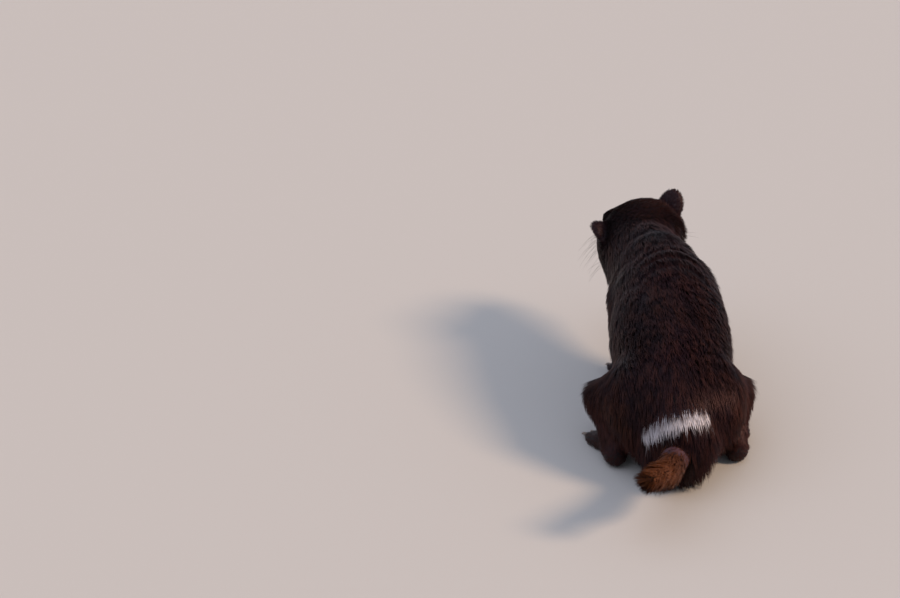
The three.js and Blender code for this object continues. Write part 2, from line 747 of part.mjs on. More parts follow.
// One eyelid: a bent strip along the edge of the almond opening, above the eye or below it.
function eyelid(centre, out, side, above) {
  const across = toward(0.72, -side * 0.66, -0.12).applyQuaternion(headTurn);
  const wide = across.addScaledVector(out, -across.dot(out)).normalize();
  const high = new THREE.Vector3().crossVectors(out, wide);
  if (high.z < 0) high.negate();
  const rows = [];
  const count = 7;
  for (let i = 0; i < count; i++) {
    const turn = (i / (count - 1)) * Math.PI;
    const reach = EYE_RADIUS + 0.4;
    const lift = above * 0.5 * Math.sin(turn);
    const ahead = Math.sqrt(Math.max(1 - 0.8 * Math.cos(turn) ** 2 - lift * lift, 0.1));
    const at = centre
      .clone()
      .addScaledVector(wide, Math.cos(turn) * 0.93 * reach)
      .addScaledVector(high, lift * reach)
      .addScaledVector(out, ahead * reach);
    const swell = 0.55 + 0.45 * Math.sin(turn);
    rows.push({ at, wide: LID_THICKNESS * swell, thick: LID_WIDTH * swell, across: out });
  }
  return strip(rows);
}

// Each eye is a ball set in the skin under a brow, between its two lids.
for (const side of [-1, 1]) {
  const name = side > 0 ? "right" : "left";
  const socket = onSkin([56, side * 10, 10], [0.55, side * 0.75, 0.36]);
  const centre = socket.at.clone().addScaledVector(socket.out, -EYE_RADIUS * EYE_DEPTH);
  const ball = oval(centre, EYE_RADIUS, EYE_RADIUS, EYE_RADIUS, headTurn, 14);
  headWork.push((skull) => {
    const lidded = skull.add(eyelid(centre, socket.out, side, 1)).add(eyelid(centre, socket.out, side, -1));
    return lidded.subtract(ball(GAP));
  });
  add(`eye_${name}`, () => ball(0), finish.eye);
}

// The nose pad at the tip of the muzzle, with two nostrils that open forward and sideways.
const NOSE_WIDTH = 26;
const NOSTRIL_WIDTH = 5.4;
const nosePad = oval(onHead(102, 0, 1), NOSE_WIDTH / 2, 10.5, 9.5, headTurn, 14);
add(
  "nose",
  (nudge) => {
    let made = nosePad(0);
    for (const side of [-1, 1]) {
      const front = onHead(110.5 + nudge * 0.1, side * 5.4, 0);
      const slit = onHead(106.5, side * 10, -2.4);
      made = made.subtract(oval(front, NOSTRIL_WIDTH / 2, 4.5, 3, headTurn, 8)(0));
      made = made.subtract(oval(slit, 4.4, 3, 1.4, headTurn, 8)(0));
    }
    return made;
  },
  finish.nose,
);
headWork.push((skull) => skull.subtract(nosePad(GAP)));

// The mouth runs back from under the nose along each side of the muzzle to its corner below the eye.
// It is a groove in the skin, with the edge of the upper lip standing out above it.
const MOUTH_GROOVE = 1.1; // half the width of the groove
const MOUTH_DEPTH = 3.4;
for (const side of [-1, 1]) {
  const groove = [];
  const lip = [];
  const count = 10;
  for (let i = 0; i < count; i++) {
    const t = i / (count - 1);
    const turn = rad(THREE.MathUtils.lerp(-3, 86, Math.min(t * 1.7, 1)));
    const start = THREE.MathUtils.lerp(66, 40, Math.max((t - 0.55) / 0.45, 0));
    const level = -28.5 + 2.5 * Math.sin(Math.PI * t) + 5 * t * t;
    const out = [Math.cos(turn), side * Math.sin(turn), 0];
    const edge = onSkin([start, 0, level], out);
    const above = onSkin([start, 0, level + 3.2], out);
    const swell = Math.sin(Math.PI * Math.min(t + 0.12, 1)) * 0.7 + 0.3;
    groove.push({ at: edge.at, wide: MOUTH_GROOVE, thick: MOUTH_DEPTH, across: toward(0, 0, 1) });
    lip.push({ at: above.at, wide: 2.6 * swell, thick: 1.5 * swell, across: toward(0, 0, 1) });
  }
  headWork.push((skull) => skull.add(strip(lip)).subtract(strip(groove)));
}

// Each ear is a thin rounded cup, rooted in the side of the skull and open forward and outward.
for (const side of [-1, 1]) {
  const name = side > 0 ? "right" : "left";
  const lean = new THREE.Quaternion()
    .setFromAxisAngle(toward(1, 0, 0), rad(EAR_LEAN * side))
    .multiply(new THREE.Quaternion().setFromAxisAngle(new THREE.Vector3(0, 0, 1), rad(-EAR_OPEN * side)));
  const turn = headTurn.clone().multiply(lean);
  const own = (forward, right, up) => at(forward, right, up).applyQuaternion(turn);
  const root = onHead(-6, side * 43, 1);
  const middle = root.clone().add(own(0, 0, EAR_HEIGHT * 0.42));
  const shell = oval(middle, EAR_WIDTH / 2, 8.5, EAR_HEIGHT * 0.58, turn, 15);
  const hollow = oval(
    middle.clone().add(own(6.5, 0, -1)),
    EAR_WIDTH / 2 - EAR_WALL * 0.6,
    9.5,
    EAR_HEIGHT * 0.58 - EAR_WALL * 0.6,
    turn,
    15,
  );
  add(`ear_${name}`, () => shell(0).subtract(hollow(0)), finish.ear);
  headWork.push((skull) => skull.subtract(shell(GAP)));
}
add(
  "head",
  (nudge) => {
    const reach = [onHead(-34, 0, -20), onHead(112, 0, -20)];
    const bare = fleshNear(reach, 96, STEP.head, nudge).intersect(cell([nape]));
    return headWork.reduce((skull, work) => work(skull), bare);
  },
  finish.coat,
);

// The frame's origin is the middle of the box's underside.
const bounds = new THREE.Box3().setFromObject(group);
const middle = bounds.getCenter(new THREE.Vector3());
group.position.set(-middle.x, -middle.y, -bounds.min.z);
group.updateMatrixWorld(true);

export default group;
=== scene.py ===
"""A Tasmanian devil, life size, as a still museum model.

One skin stands for all the solids of flesh. Over it lie the tufts of the coat, the claws, the eyes
and the whiskers. Lengths are in metres in the scene and in millimetres in the named sizes.
"""

import math

import bmesh
import bpy
import numpy as np
from bpy.props import FloatProperty, IntProperty, PointerProperty, StringProperty
from bpy.types import Operator, Panel, PropertyGroup
from mathutils import Matrix, Vector
from mathutils.bvhtree import BVHTree
from mathutils.kdtree import KDTree


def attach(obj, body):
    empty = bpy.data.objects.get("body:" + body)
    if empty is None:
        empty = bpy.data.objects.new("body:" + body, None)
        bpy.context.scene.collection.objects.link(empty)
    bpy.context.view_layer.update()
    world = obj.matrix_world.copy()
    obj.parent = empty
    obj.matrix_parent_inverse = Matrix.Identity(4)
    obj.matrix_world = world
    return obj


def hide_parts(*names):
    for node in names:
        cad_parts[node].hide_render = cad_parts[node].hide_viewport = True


bl_info = {
    "name": "Tasmanian devil",
    "version": (1, 0, 0),
    "blender": (4, 5, 0),
    "location": "3D View > Sidebar > Devil",
    "description": "Dresses the solids of a crouching Tasmanian devil with skin, coat and fittings",
    "category": "Object",
}

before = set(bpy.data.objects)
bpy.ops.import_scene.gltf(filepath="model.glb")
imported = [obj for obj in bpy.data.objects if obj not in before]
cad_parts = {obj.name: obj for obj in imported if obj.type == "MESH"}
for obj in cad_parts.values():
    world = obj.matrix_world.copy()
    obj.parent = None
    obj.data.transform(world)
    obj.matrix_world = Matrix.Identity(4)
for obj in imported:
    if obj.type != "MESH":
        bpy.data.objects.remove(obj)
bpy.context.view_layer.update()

MM = 0.001
BODY = "root"
FLOOR_CLEARANCE = 0.2  # millimetres that skin and hair stay above the floor

# The tail root in the frame, from which the solids were measured.
TAIL_ROOT = Vector((-5.36, 203.19, 0.0)) * MM


def at(forward, right, up):
    """A point given in millimetres forward of the tail root, to the animal's right, and up."""
    return TAIL_ROOT + Vector((-right, -forward, up)) * MM


def toward(forward, right, up):
    """A direction given by the same three measures."""
    return Vector((-right, -forward, up)).normalized()


# The head's own frame, between the ears: the face looks to the animal's left and down.
HEAD_FRAME = (
    Matrix.Translation(at(452, -2.5, 190))
    @ Matrix.Rotation(math.radians(15), 4, "Z")
    @ Matrix.Rotation(math.radians(9), 4, "X")
    @ Matrix.Rotation(math.radians(15), 4, "Y")
)


def on_head(forward, right, up):
    """A point in the head's own measures, in millimetres."""
    return HEAD_FRAME @ (Vector((-right, -forward, up)) * MM)


def head_way(forward, right, up):
    """A direction in the head's own measures."""
    return (HEAD_FRAME.to_3x3() @ Vector((-right, -forward, up))).normalized()


SIDES = {"right": 1, "left": -1}
FLESH = [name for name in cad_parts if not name.startswith("eye_")]
# How far the hips and the chest lie to the right of the tail root: the trunk is bent between them.
PELVIS = -11
CHEST = 8


def hind_leg(side, spread):
    """Hip, knee, heel and ball of a hind leg, and the way its toes point."""
    out = side * spread
    return {
        "side": side,
        "joints": [
            at(96, PELVIS + 48 * out, 104),
            at(150, PELVIS + 94 * out, 68),
            at(75, PELVIS + 87 * out, 17),
            at(128, PELVIS + 96 * out, 11),
        ],
        "heading": toward(1, 0.16 * side, 0),
        "toes": 4,
    }


def fore_leg(side, reach):
    """Shoulder, elbow, wrist and palm of a foreleg, and the way its toes point."""
    return {
        "side": side,
        "joints": [
            at(318, CHEST + 38 * side, 136),
            at(292, CHEST + 47 * side, 86),
            at(317 + reach, CHEST + 35 * side, 27),
            at(333 + reach, CHEST + 35 * side, 11),
        ],
        "heading": toward(1, 0.06 * side, 0),
        "toes": 5,
    }


LEGS = {
    "hind_right": hind_leg(1, 1.02),
    "hind_left": hind_leg(-1, 0.9),
    "fore_right": fore_leg(1, 0),
    "fore_left": fore_leg(-1, 14),
}
# The toes, in millimetres: the radius, the gap between two roots, and the length of a toe and of the
# inner one of five.
TOE_RADIUS = 6.4
TOE_SPACING = 7.2
TOE_LENGTH = 29
INNER_TOE_LENGTH = 17
TAIL_LENGTH = 152
TAIL_POINTS = [
    at(10, -16, 60),
    at(10 - 0.46 * TAIL_LENGTH, -36, 56),
    at(10 - 0.92 * TAIL_LENGTH, -78, 91),
]
TAIL_RADII = (21, 10)  # at the root and at the tip


def tail_point(t):
    """A point of the tail's middle line, from 0 at the root to 1 at the tip."""
    root, bend, tip = TAIL_POINTS
    return root * (1 - t) ** 2 + bend * (2 * t * (1 - t)) + tip * t**2


def tail_radius(t):
    """The tail's radius, in metres, at a share of its length."""
    root, tip = TAIL_RADII
    return (root + (tip - root) * max(t, 0) ** 1.6) * MM


def toe_lines(leg):
    """Root, tip and direction of each toe of a leg."""
    heading, side, count = leg["heading"], leg["side"], leg["toes"]
    lines = []
    for i in range(count):
        inner = count == 5 and i == 0
        place = i - (count - 1) / 2
        turn = math.radians(-place * (11 if count == 5 else 9) * side)
        along = Matrix.Rotation(turn, 3, "Z") @ heading
        across = Vector((-heading.y, heading.x, 0)) * (-place * side * TOE_SPACING * MM)
        length = ((INNER_TOE_LENGTH if inner else TOE_LENGTH) - 2.2 * abs(place)) * MM
        root = leg["joints"][3] + across
        root.z = (TOE_RADIUS + 2.5) * MM
        tip = root + along * length
        tip.z = (TOE_RADIUS - 0.6) * MM
        lines.append((root, tip, along))
    return lines


# The face, in the head's measures forward, right and up: the middle of the right eye and the way it faces,
# the middle and half sizes of the nose pad, and the right nostril's place across and up.
EYE_SEAT = (63.6, 20.3, 15.0)
EYE_WAY = (0.55, 0.75, 0.36)
EYE_OPENING = (6.3, 4.6, 3.6)  # half width, and height above and below the middle
NOSE_PAD = ((102, 0, 1), (11, 13.4, 10))
NOSTRIL = (5.4, 0)
MOUTH_BACK = 36  # the lips reach no further back than this


def eye_axes(side):
    """The middle of an eye, the way it faces, and the directions across and up its opening."""
    seat = on_head(EYE_SEAT[0], side * EYE_SEAT[1], EYE_SEAT[2])
    out = head_way(EYE_WAY[0], side * EYE_WAY[1], EYE_WAY[2])
    across = head_way(0.72, -side * 0.66, -0.12)
    across = (across - out * across.dot(out)).normalized()
    high = out.cross(across)
    if high.z < 0:
        high.negate()
    return seat, out, across, high


# The middle line of the white bar that crosses the rump above the tail, and of the one on the chest.
RUMP_BAR = [at(16, -61, 86), at(4, -47, 99), at(-3, -27, 111), at(-1, -4, 116), at(8, 15, 114)]
CHEST_BAR = [at(362, -40, 116), at(378, -22, 98), at(384, -4, 90), at(378, 14, 96), at(362, 32, 112)]


# Sizes and colours that a user may change.


def length_setting(name, millimetres, description):
    """A setting that is a length."""
    return FloatProperty(name=name, description=description, default=millimetres * MM, unit="LENGTH")


def colour_setting(name, colour, description):
    """A setting that is an sRGB hex colour."""
    return StringProperty(name=name, description=description, default=colour)


class DevilSkin(PropertyGroup):
    """Sizes of the skin."""

    voxel: length_setting("Voxel", 1.6, "Grid of the skin's mesh")
    coat_depth: length_setting("Coat depth", 5.0, "Depth of the skin below the solids on the back")


class DevilCoat(PropertyGroup):
    """Sizes and colours of the coat."""

    back_length: length_setting("Back", 27, "Length of hair on the back")
    brush_length: length_setting("Brush", 34, "Length of hair at the tail's end")
    thickness: length_setting("Thickness", 1.3, "Width of a tuft at its root")
    tufts: IntProperty(name="Tufts", description="Number of tufts in the whole coat", default=104000)
    seed: IntProperty(name="Seed", description="Seed of the coat's random draws", default=11)
    dark: colour_setting("Dark", "#0D0709", "Colour of the underhair")
    brown: colour_setting("Brown", "#331A20", "Colour of the hair tips")
    # Rust is partly the hair's own brown and partly painted sunlight: the orange of low sun through the
    # hair of the hind legs and the tail's brush.
    rust_and_sunlight: colour_setting("Rust", "#91552F", "Colour of the paler hair")
    white: colour_setting("White", "#D6D1D6", "Colour of the marks")


class DevilFace(PropertyGroup):
    """Sizes of the eyes, claws and whiskers."""

    eye_radius: length_setting("Eye radius", 7.2, "Radius of the eyeball")
    whisker_length: length_setting("Whiskers", 62, "Length of the longest whisker")
    claw_length: length_setting("Claw length", 15, "Length of a claw")


class DevilStage(PropertyGroup):
    """The floor, the lights and the camera."""

    floor_colour: colour_setting("Floor", "#C9C5BF", "Colour of the floor")
    key_strength: FloatProperty(name="Key", description="Strength of the warm light", default=2.3)
    fill_strength: FloatProperty(name="Fill", description="Strength of the cool light", default=0.7)
    lens: FloatProperty(name="Lens", description="Focal length", default=85.0, unit="CAMERA")


# Arrays of points.


def unit(vectors):
    """Rows scaled to length one."""
    lengths = np.linalg.norm(vectors, axis=-1, keepdims=True)
    return vectors / np.maximum(lengths, 1e-12)


def array_of(items, key, width=3, kind=np.float32):
    """One property of all the items, as rows of some width."""
    flat = np.empty(len(items) * width, kind)
    items.foreach_get(key, flat)
    return flat.reshape(-1, width)


def points_of(mesh):
    """The mesh's points as rows."""
    return array_of(mesh.vertices, "co").astype(float)


def normals_of(mesh):
    """The normals of the mesh's points as rows."""
    return array_of(mesh.vertex_normals, "vector").astype(float)


def edges_of(mesh):
    """The mesh's edges as pairs of point numbers."""
    return array_of(mesh.edges, "vertices", 2, np.int32)


def triangles_of(mesh):
    """The mesh's triangles as rows of point numbers."""
    mesh.calc_loop_triangles()
    return array_of(mesh.loop_triangles, "vertices", 3, np.int32)


def face_normals(points, faces):
    """The normal of each triangle, twice as long as its area."""
    corner = points[faces]
    return np.cross(corner[:, 1] - corner[:, 0], corner[:, 2] - corner[:, 0])


def stacked(parts):
    """Points, triangles and values of several sets, as one set."""
    points, faces, values = zip(*parts)
    starts = np.cumsum([0] + [len(own) for own in points[:-1]])
    faces = [own + start for own, start in zip(faces, starts)]
    return np.concatenate(points), np.concatenate(faces), np.concatenate(values)


def move_points(mesh, points):
    """Gives the mesh's points new places."""
    mesh.vertices.foreach_set("co", points.astype(np.float32).ravel())
    mesh.update()


class Smoother:
    """Averages values over the neighbours of each point."""

    def __init__(self, mesh):
        pairs = edges_of(mesh)
        first = np.concatenate([pairs[:, 0], pairs[:, 1]])
        second = np.concatenate([pairs[:, 1], pairs[:, 0]])
        order = np.argsort(first, kind="stable")
        self.near = second[order]
        self.degree = np.bincount(first, minlength=len(mesh.vertices))
        self.starts = np.cumsum(self.degree) - self.degree

    def mean(self, values):
        """The mean of the neighbours' values."""
        sums = np.add.reduceat(values[self.near], self.starts, axis=0)
        return (sums.T / self.degree).T

    def run(self, values, rounds, share=0.5):
        """The values after some rounds of averaging."""
        for _ in range(rounds):
            values = values + (self.mean(values) - values) * share
        return values

    def relax(self, values, rounds, share=0.5):
        """The values after averaging, each point for its own number of rounds."""
        for step in range(int(rounds.max()) + 1):
            own_share = np.clip(rounds - step, 0, 1) * share
            values = values + ((self.mean(values) - values).T * own_share).T
        return values


def write_field(mesh, name, values):
    """Keeps a value or a vector for each point of the mesh."""
    vector = values.ndim == 2
    field = mesh.attributes.new(name, "FLOAT_VECTOR" if vector else "FLOAT", "POINT")
    field.data.foreach_set("vector" if vector else "value", values.astype(np.float32).ravel())


def read_field(mesh, name):
    """The kept values of the mesh's points."""
    field = mesh.attributes[name]
    if field.data_type == "FLOAT_VECTOR":
        return array_of(field.data, "vector").astype(float)
    return array_of(field.data, "value", 1).ravel().astype(float)


def ease(low, high, values):
    """A smooth step from 0 at low to 1 at high."""
    t = np.clip((values - low) / (high - low), 0, 1)
    return t * t * (3 - 2 * t)


def hump(values, middle, width):
    """A smooth hump of height 1 about a middle value."""
    return np.exp(-(((values - middle) / width) ** 2))


def cloud(points, size, seed):
    """A smooth random value from -1 to 1 at each point, with lumps of the given size."""
    cells = points / size + seed * 17.3
    corner = np.floor(cells).astype(np.int64)
    part = cells - corner
    part = part * part * (3 - 2 * part)
    total = np.zeros(len(points))
    for step in range(8):
        offset = np.array([step & 1, (step >> 1) & 1, (step >> 2) & 1])
        key = (corner + offset) @ np.array([73856093, 19349663, 83492791]) + seed * 7919
        key = (key ^ (key >> 13)) * 1274126177
        key = (key ^ (key >> 16)) & 0xFFFF
        weight = np.prod(np.where(offset, part, 1 - part), axis=1)
        total += weight * (key / 32767.5 - 1)
    return total


def body_measures(points):
    """Each point's millimetres forward of the tail root, to the animal's right, and up."""
    offset = (points - np.array(TAIL_ROOT)) / MM
    return np.stack([-offset[:, 1], -offset[:, 0], offset[:, 2]], 1)


def head_measures(points):
    """Each point's millimetres in the head's own frame."""
    inverse = np.array(HEAD_FRAME.inverted())
    own = (points @ inverse[:3, :3].T + inverse[:3, 3]) / MM
    return np.stack([-own[:, 1], -own[:, 0], own[:, 2]], 1)


# Materials.


def linear(hex_colour):
    """An sRGB hex colour as a linear one with full alpha."""
    digits = hex_colour.lstrip("#")
    channels = [int(digits[i : i + 2], 16) / 255 for i in (0, 2, 4)]
    return [c / 12.92 if c <= 0.04045 else ((c + 0.055) / 1.055) ** 2.4 for c in channels] + [1.0]


def new_material(name):
    """An empty node material with its shader and output."""
    material = bpy.data.materials.new(name)
    material.use_nodes = True
    tree = material.node_tree
    tree.nodes.clear()
    output = tree.nodes.new("ShaderNodeOutputMaterial")
    shader = tree.nodes.new("ShaderNodeBsdfPrincipled")
    tree.links.new(shader.outputs["BSDF"], output.inputs["Surface"])
    return material, tree, shader


def feed(tree, made, **inputs):
    """Sets a node's inputs to numbers or hex colours, or links them to the outputs of other nodes."""
    for key, value in inputs.items():
        socket = made.inputs[int(key[1:]) if key[1:].isdigit() else key.replace("_", " ")]
        if isinstance(value, bpy.types.NodeSocket):
            tree.links.new(value, socket)
        else:
            socket.default_value = linear(value) if isinstance(value, str) else value


def node(tree, kind, settings=None, **inputs):
    """Adds a shader node with its settings and inputs, and gives its outputs."""
    made = tree.nodes.new("ShaderNode" + kind)
    for key, value in (settings or {}).items():
        setattr(made, key, value)
    feed(tree, made, **inputs)
    return made.outputs


def layered(tree, colour, layers):
    """A colour with others over it in turn, each by a share or by the mesh's kept values of that name."""
    for share, over in layers:
        if isinstance(share, str):
            share = node(tree, "Attribute", {"attribute_name": share})["Fac"]
        colour = node(tree, "Mix", {"data_type": "RGBA"}, i0=share, i6=colour, i7=over)[2]
    return colour


def guard_hair():
    """Glossy brown-black guard hair: dark at the root, browner at the tip, with a soft sheen."""
    coat = bpy.context.scene.devil_coat
    material, tree, shader = new_material("guard_hair")
    along = node(tree, "Attribute", {"attribute_name": "along"})["Fac"]
    tint = node(tree, "Attribute", {"attribute_name": "tint"})["Fac"]
    tip = node(tree, "Math", {"operation": "MULTIPLY"}, i0=along, i1=tint)[0]
    # The rust layer is partly the hair's own brown and partly painted sunlight on the hind legs and the
    # tail's brush.
    colour = layered(tree, coat.dark, [(tip, coat.brown), ("rust_and_sunlight", coat.rust_and_sunlight), ("white", coat.white)])
    feed(tree, shader, Base_Color=colour, Roughness=0.38, IOR=1.5)
    # The hairs hide most of each other's shine, so the level is low, and what is left is faintly pink.
    feed(tree, shader, Specular_IOR_Level=0.2, Specular_Tint="#E3BEC6")
    return material


def hide():
    """Bare and thinly haired hide: dark under the coat, pink-brown where bare, finely wrinkled."""
    coat = bpy.context.scene.devil_coat
    material, tree, shader = new_material("hide")
    place = node(tree, "TexCoord")["Object"]
    # Skin lines lie about 1.2 mm apart, 830 to the metre, and blotches are about 11 mm wide.
    wrinkle = node(tree, "TexVoronoi", Vector=place, Scale=830.0)["Distance"]
    blotch = node(tree, "TexNoise", Vector=place, Scale=90.0, Detail=3.0)["Fac"]
    pink = layered(tree, "#35222A", [(blotch, "#6B484F")])
    colour = layered(tree, coat.dark, [("bare", pink), ("leather", "#17100F"), ("white", coat.white)])
    bump = node(tree, "Bump", Strength=0.35, Distance=0.4 * MM, Height=wrinkle)[0]
    # The nose, lips and lids are moist, so they shine more than the rest.
    leather = node(tree, "Attribute", {"attribute_name": "leather"})["Fac"]
    gloss = node(tree, "MapRange", Value=leather, To_Min=0.6, To_Max=0.42)[0]
    feed(tree, shader, Base_Color=colour, Normal=bump, Roughness=gloss, Specular_IOR_Level=0.3)
    return material


def eye_cornea():
    """A wet dark eye: nearly black brown iris under a clear, glossy cornea."""
    material, tree, shader = new_material("eye_cornea")
    colour = layered(tree, "#080505", [("iris", "#2A1710")])
    feed(tree, shader, Base_Color=colour, Roughness=0.04, IOR=1.38, Specular_IOR_Level=0.36)
    return material


def claw_horn():
    """Keratin of the claws: grey-brown horn with faint lengthwise streaks, worn paler at the tip."""
    material, tree, shader = new_material("claw_horn")
    place = node(tree, "TexCoord")["Object"]
    # The streaks lie about 1.4 mm apart, 700 to the metre.
    streak = node(tree, "TexNoise", Vector=place, Scale=700.0, Detail=2.0)["Fac"]
    colour = layered(tree, "#4A3B33", [(streak, "#75645A"), ("along", "#A8978A")])
    feed(tree, shader, Base_Color=colour, Roughness=0.32, IOR=1.55)
    return material


def whisker_keratin():
    """Whiskers: smooth, stiff black keratin, a little browner at the tip."""
    material, tree, shader = new_material("whisker_keratin")
    colour = layered(tree, "#0E0A0A", [("along", "#33261F")])
    feed(tree, shader, Base_Color=colour, Roughness=0.3)
    return material


def studio_floor():
    """Matt painted board: an even pale surface with a faint roller grain."""
    material, tree, shader = new_material("studio_floor")
    place = node(tree, "TexCoord")["Object"]
    # The grain that a roller leaves is about 4 mm wide, 240 to the metre.
    grain = node(tree, "TexNoise", Vector=place, Scale=240.0, Detail=4.0)["Fac"]
    bump = node(tree, "Bump", Strength=0.08, Distance=0.5 * MM, Height=grain)[0]
    colour = bpy.context.scene.devil_stage.floor_colour
    feed(tree, shader, Base_Color=colour, Normal=bump, Roughness=0.85)
    return material


def placed(name, data):
    """A new object in the scene with the given data."""
    made = bpy.data.objects.new(name, data)
    bpy.context.scene.collection.objects.link(made)
    return made


def show(name, mesh, material):
    """Puts a mesh in the scene under a name, with its material, riding on the body."""
    made = placed(name, mesh)
    mesh.materials.append(material)
    mesh.shade_smooth()
    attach(made, BODY)
    return made


# The skin.

# In millimetres: how far each solid grows to close the cuts, the rings at the bare root of the tail,
# and the folds of the nape.
SWELL = 0.35
RING_WIDTH = 6
RING_HEIGHT = 0.7
FOLD_WIDTH = 20
FOLD_HEIGHT = 0.8


def joined_solids():
    """Points, triangles and owners of the flesh, swollen so that the cuts between the solids close."""
    parts = []
    for index, name in enumerate(FLESH):
        own = tail_core() if name == "tail" else merged_points(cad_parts[name].data)
        parts.append((*own, np.full(len(own[1]), index)))
    points, faces, owner = stacked(parts)
    normals = np.zeros_like(points)
    flat = face_normals(points, faces)
    for k in range(3):
        np.add.at(normals, faces[:, k], flat)
    return points + unit(normals) * SWELL * MM, faces, owner


def tail_core():
    """Points and triangles of the flesh of the tail, without its hair."""
    shares = list(np.linspace(0.05, 1.0, 40))
    line = [tail_point(t) for t in shares]
    widths = [tail_radius(t) for t in shares]
    ahead = (line[-1] - line[-2]).normalized()
    tip, end = line[-1], widths[-1]
    for turn in np.linspace(0, math.pi / 2, 7)[1:]:
        line.append(tip + ahead * (end * math.sin(turn)))
        widths.append(end * math.cos(turn) + 0.1 * MM)
    return swept(line, widths, 28)


def merged_points(mesh):
    """The mesh's points, those at one place taken as one, and its triangles."""
    places = np.round(points_of(mesh) * 1e6).astype(np.int64)
    _, first, home = np.unique(places, axis=0, return_index=True, return_inverse=True)
    return points_of(mesh)[first], home.ravel()[triangles_of(mesh)]


def remeshed(points, faces, voxel):
    """A new mesh of the outer surface of some solids, on an even grid."""
    rough = bpy.data.meshes.new("rough")
    rough.from_pydata(points.tolist(), [], faces.tolist())
    holder = placed("rough", rough)
    grid = holder.modifiers.new("grid", "REMESH")
    grid.mode = "VOXEL"
    grid.voxel_size = voxel
    seen = holder.evaluated_get(bpy.context.evaluated_depsgraph_get())
    made = bpy.data.meshes.new_from_object(seen)
    bpy.data.objects.remove(holder)
    bpy.data.meshes.remove(rough)
    return largest_island(made)


def largest_island(mesh):
    """Drops all but the mesh's largest joined surface."""
    pairs = edges_of(mesh)
    label = np.arange(len(mesh.vertices))
    while np.any(label[pairs[:, 0]] != label[pairs[:, 1]]):
        low = label[pairs].min(1)
        for end in range(2):
            np.minimum.at(label, pairs[:, end], low)
        label = label[label]
    stray = np.nonzero(label != np.bincount(label).argmax())[0]
    shaped = bmesh.new()
    shaped.from_mesh(mesh)
    shaped.verts.ensure_lookup_table()
    bmesh.ops.delete(shaped, geom=[shaped.verts[i] for i in stray], context="VERTS")
    shaped.to_mesh(mesh)
    shaped.free()
    return mesh


def nose_gap(own):
    """1 at the surface of the nose pad, less inside it and more outside, from head measures."""
    middle, half = NOSE_PAD
    return np.linalg.norm((own - np.array(middle)) / np.array(half), axis=1)


def mouth_place(own):
    """How far each point lies above the line of the mouth, in mm, and how far along that line.

    The line turns round the muzzle, through 151 degrees, and then runs 26 mm back to its corner.
    """
    forward, right, up = own.T
    turn = np.degrees(np.arctan2(np.abs(right), forward - 66))
    along = np.where(forward > 68, (turn + 3) / 151, 0.58 + 0.42 * (68 - forward) / 26)
    level = -28.5 + 2.5 * np.sin(np.pi * np.clip(along, 0, 1)) + 5 * along**2
    return up - level, along


def refined_face(mesh):
    """Adds points around the eyes, the nose and the mouth, for their finer shapes."""
    shaped = bmesh.new()
    shaped.from_mesh(mesh)
    for reach in (1.3, 1.0):
        shaped.verts.ensure_lookup_table()
        points = np.array([vert.co[:] for vert in shaped.verts])
        own = head_measures(points)
        to_eye = np.linalg.norm(own * (1, 0, 1) - np.array(EYE_SEAT) * (1, 0, 1), axis=1)
        eye = (to_eye < 11 * reach) & (np.abs(own[:, 1]) > 8)
        nose = nose_gap(own) < 1.05 * reach
        level, along = mouth_place(own)
        mouth = (np.abs(level) < 3.4 * reach) & (along < 1.05) & (own[:, 0] > MOUTH_BACK)
        fine = eye | nose | mouth
        edges = [edge for edge in shaped.edges if all(fine[vert.index] for vert in edge.verts)]
        bmesh.ops.subdivide_edges(shaped, edges=edges, cuts=1, use_grid_fill=True)
    shaped.to_mesh(mesh)
    shaped.free()
    mesh.update()


def higher(a, b, blend):
    """The higher of two heights, with a soft change from one to the other."""
    return 0.5 * (a + b + np.sqrt((a - b) ** 2 + blend**2))


def lid_share(points, side):
    """How far each point lies from the middle of an eye's opening, and its places across, up and out.

    The share is 1 at the lid's edge. It is large behind the eye and away from it.
    """
    seat, out, across, high = (np.array(v) for v in eye_axes(side))
    offset = (points - seat) / MM
    x, y, z = offset @ across, offset @ high, offset @ out
    wide, above, below = EYE_OPENING
    edge = np.hypot(x / wide, y / np.where(y > 0, above, below))
    behind, away = z < -3, np.hypot(x, y) > 18
    edge = np.where(behind | away, 9.0, edge)
    return edge, x, y, z


def shaped_lids(points, radius):
    """The points with a lid raised above and below each eye and the skin sunk behind the ball."""
    ball = radius / MM
    thickness, rim, brow, socket = 1.1, 0.35, 0.7, 1.3
    for side in SIDES.values():
        out = np.array(eye_axes(side)[1])
        edge, x, y, z = lid_share(points, side)
        flat = x**2 + y**2
        lid = np.sqrt(np.maximum((ball + thickness) ** 2 - flat, 0))
        lid = lid + rim * hump(edge, 1.16, 0.16) - 1.1 * np.maximum(edge - 1.5, 0)
        behind = np.minimum(z, np.sqrt(np.maximum(ball**2 - flat, 0)) - socket)
        raised = higher(z, lid, 0.9) + brow * hump(edge, 2.25, 0.3) * (y > 0)
        wanted = behind + (raised - behind) * ease(0.94, 1.06, edge)
        fade = ease(3.1, 2.2, edge)
        points = points + np.outer((wanted - z) * fade * MM, out)
    return points


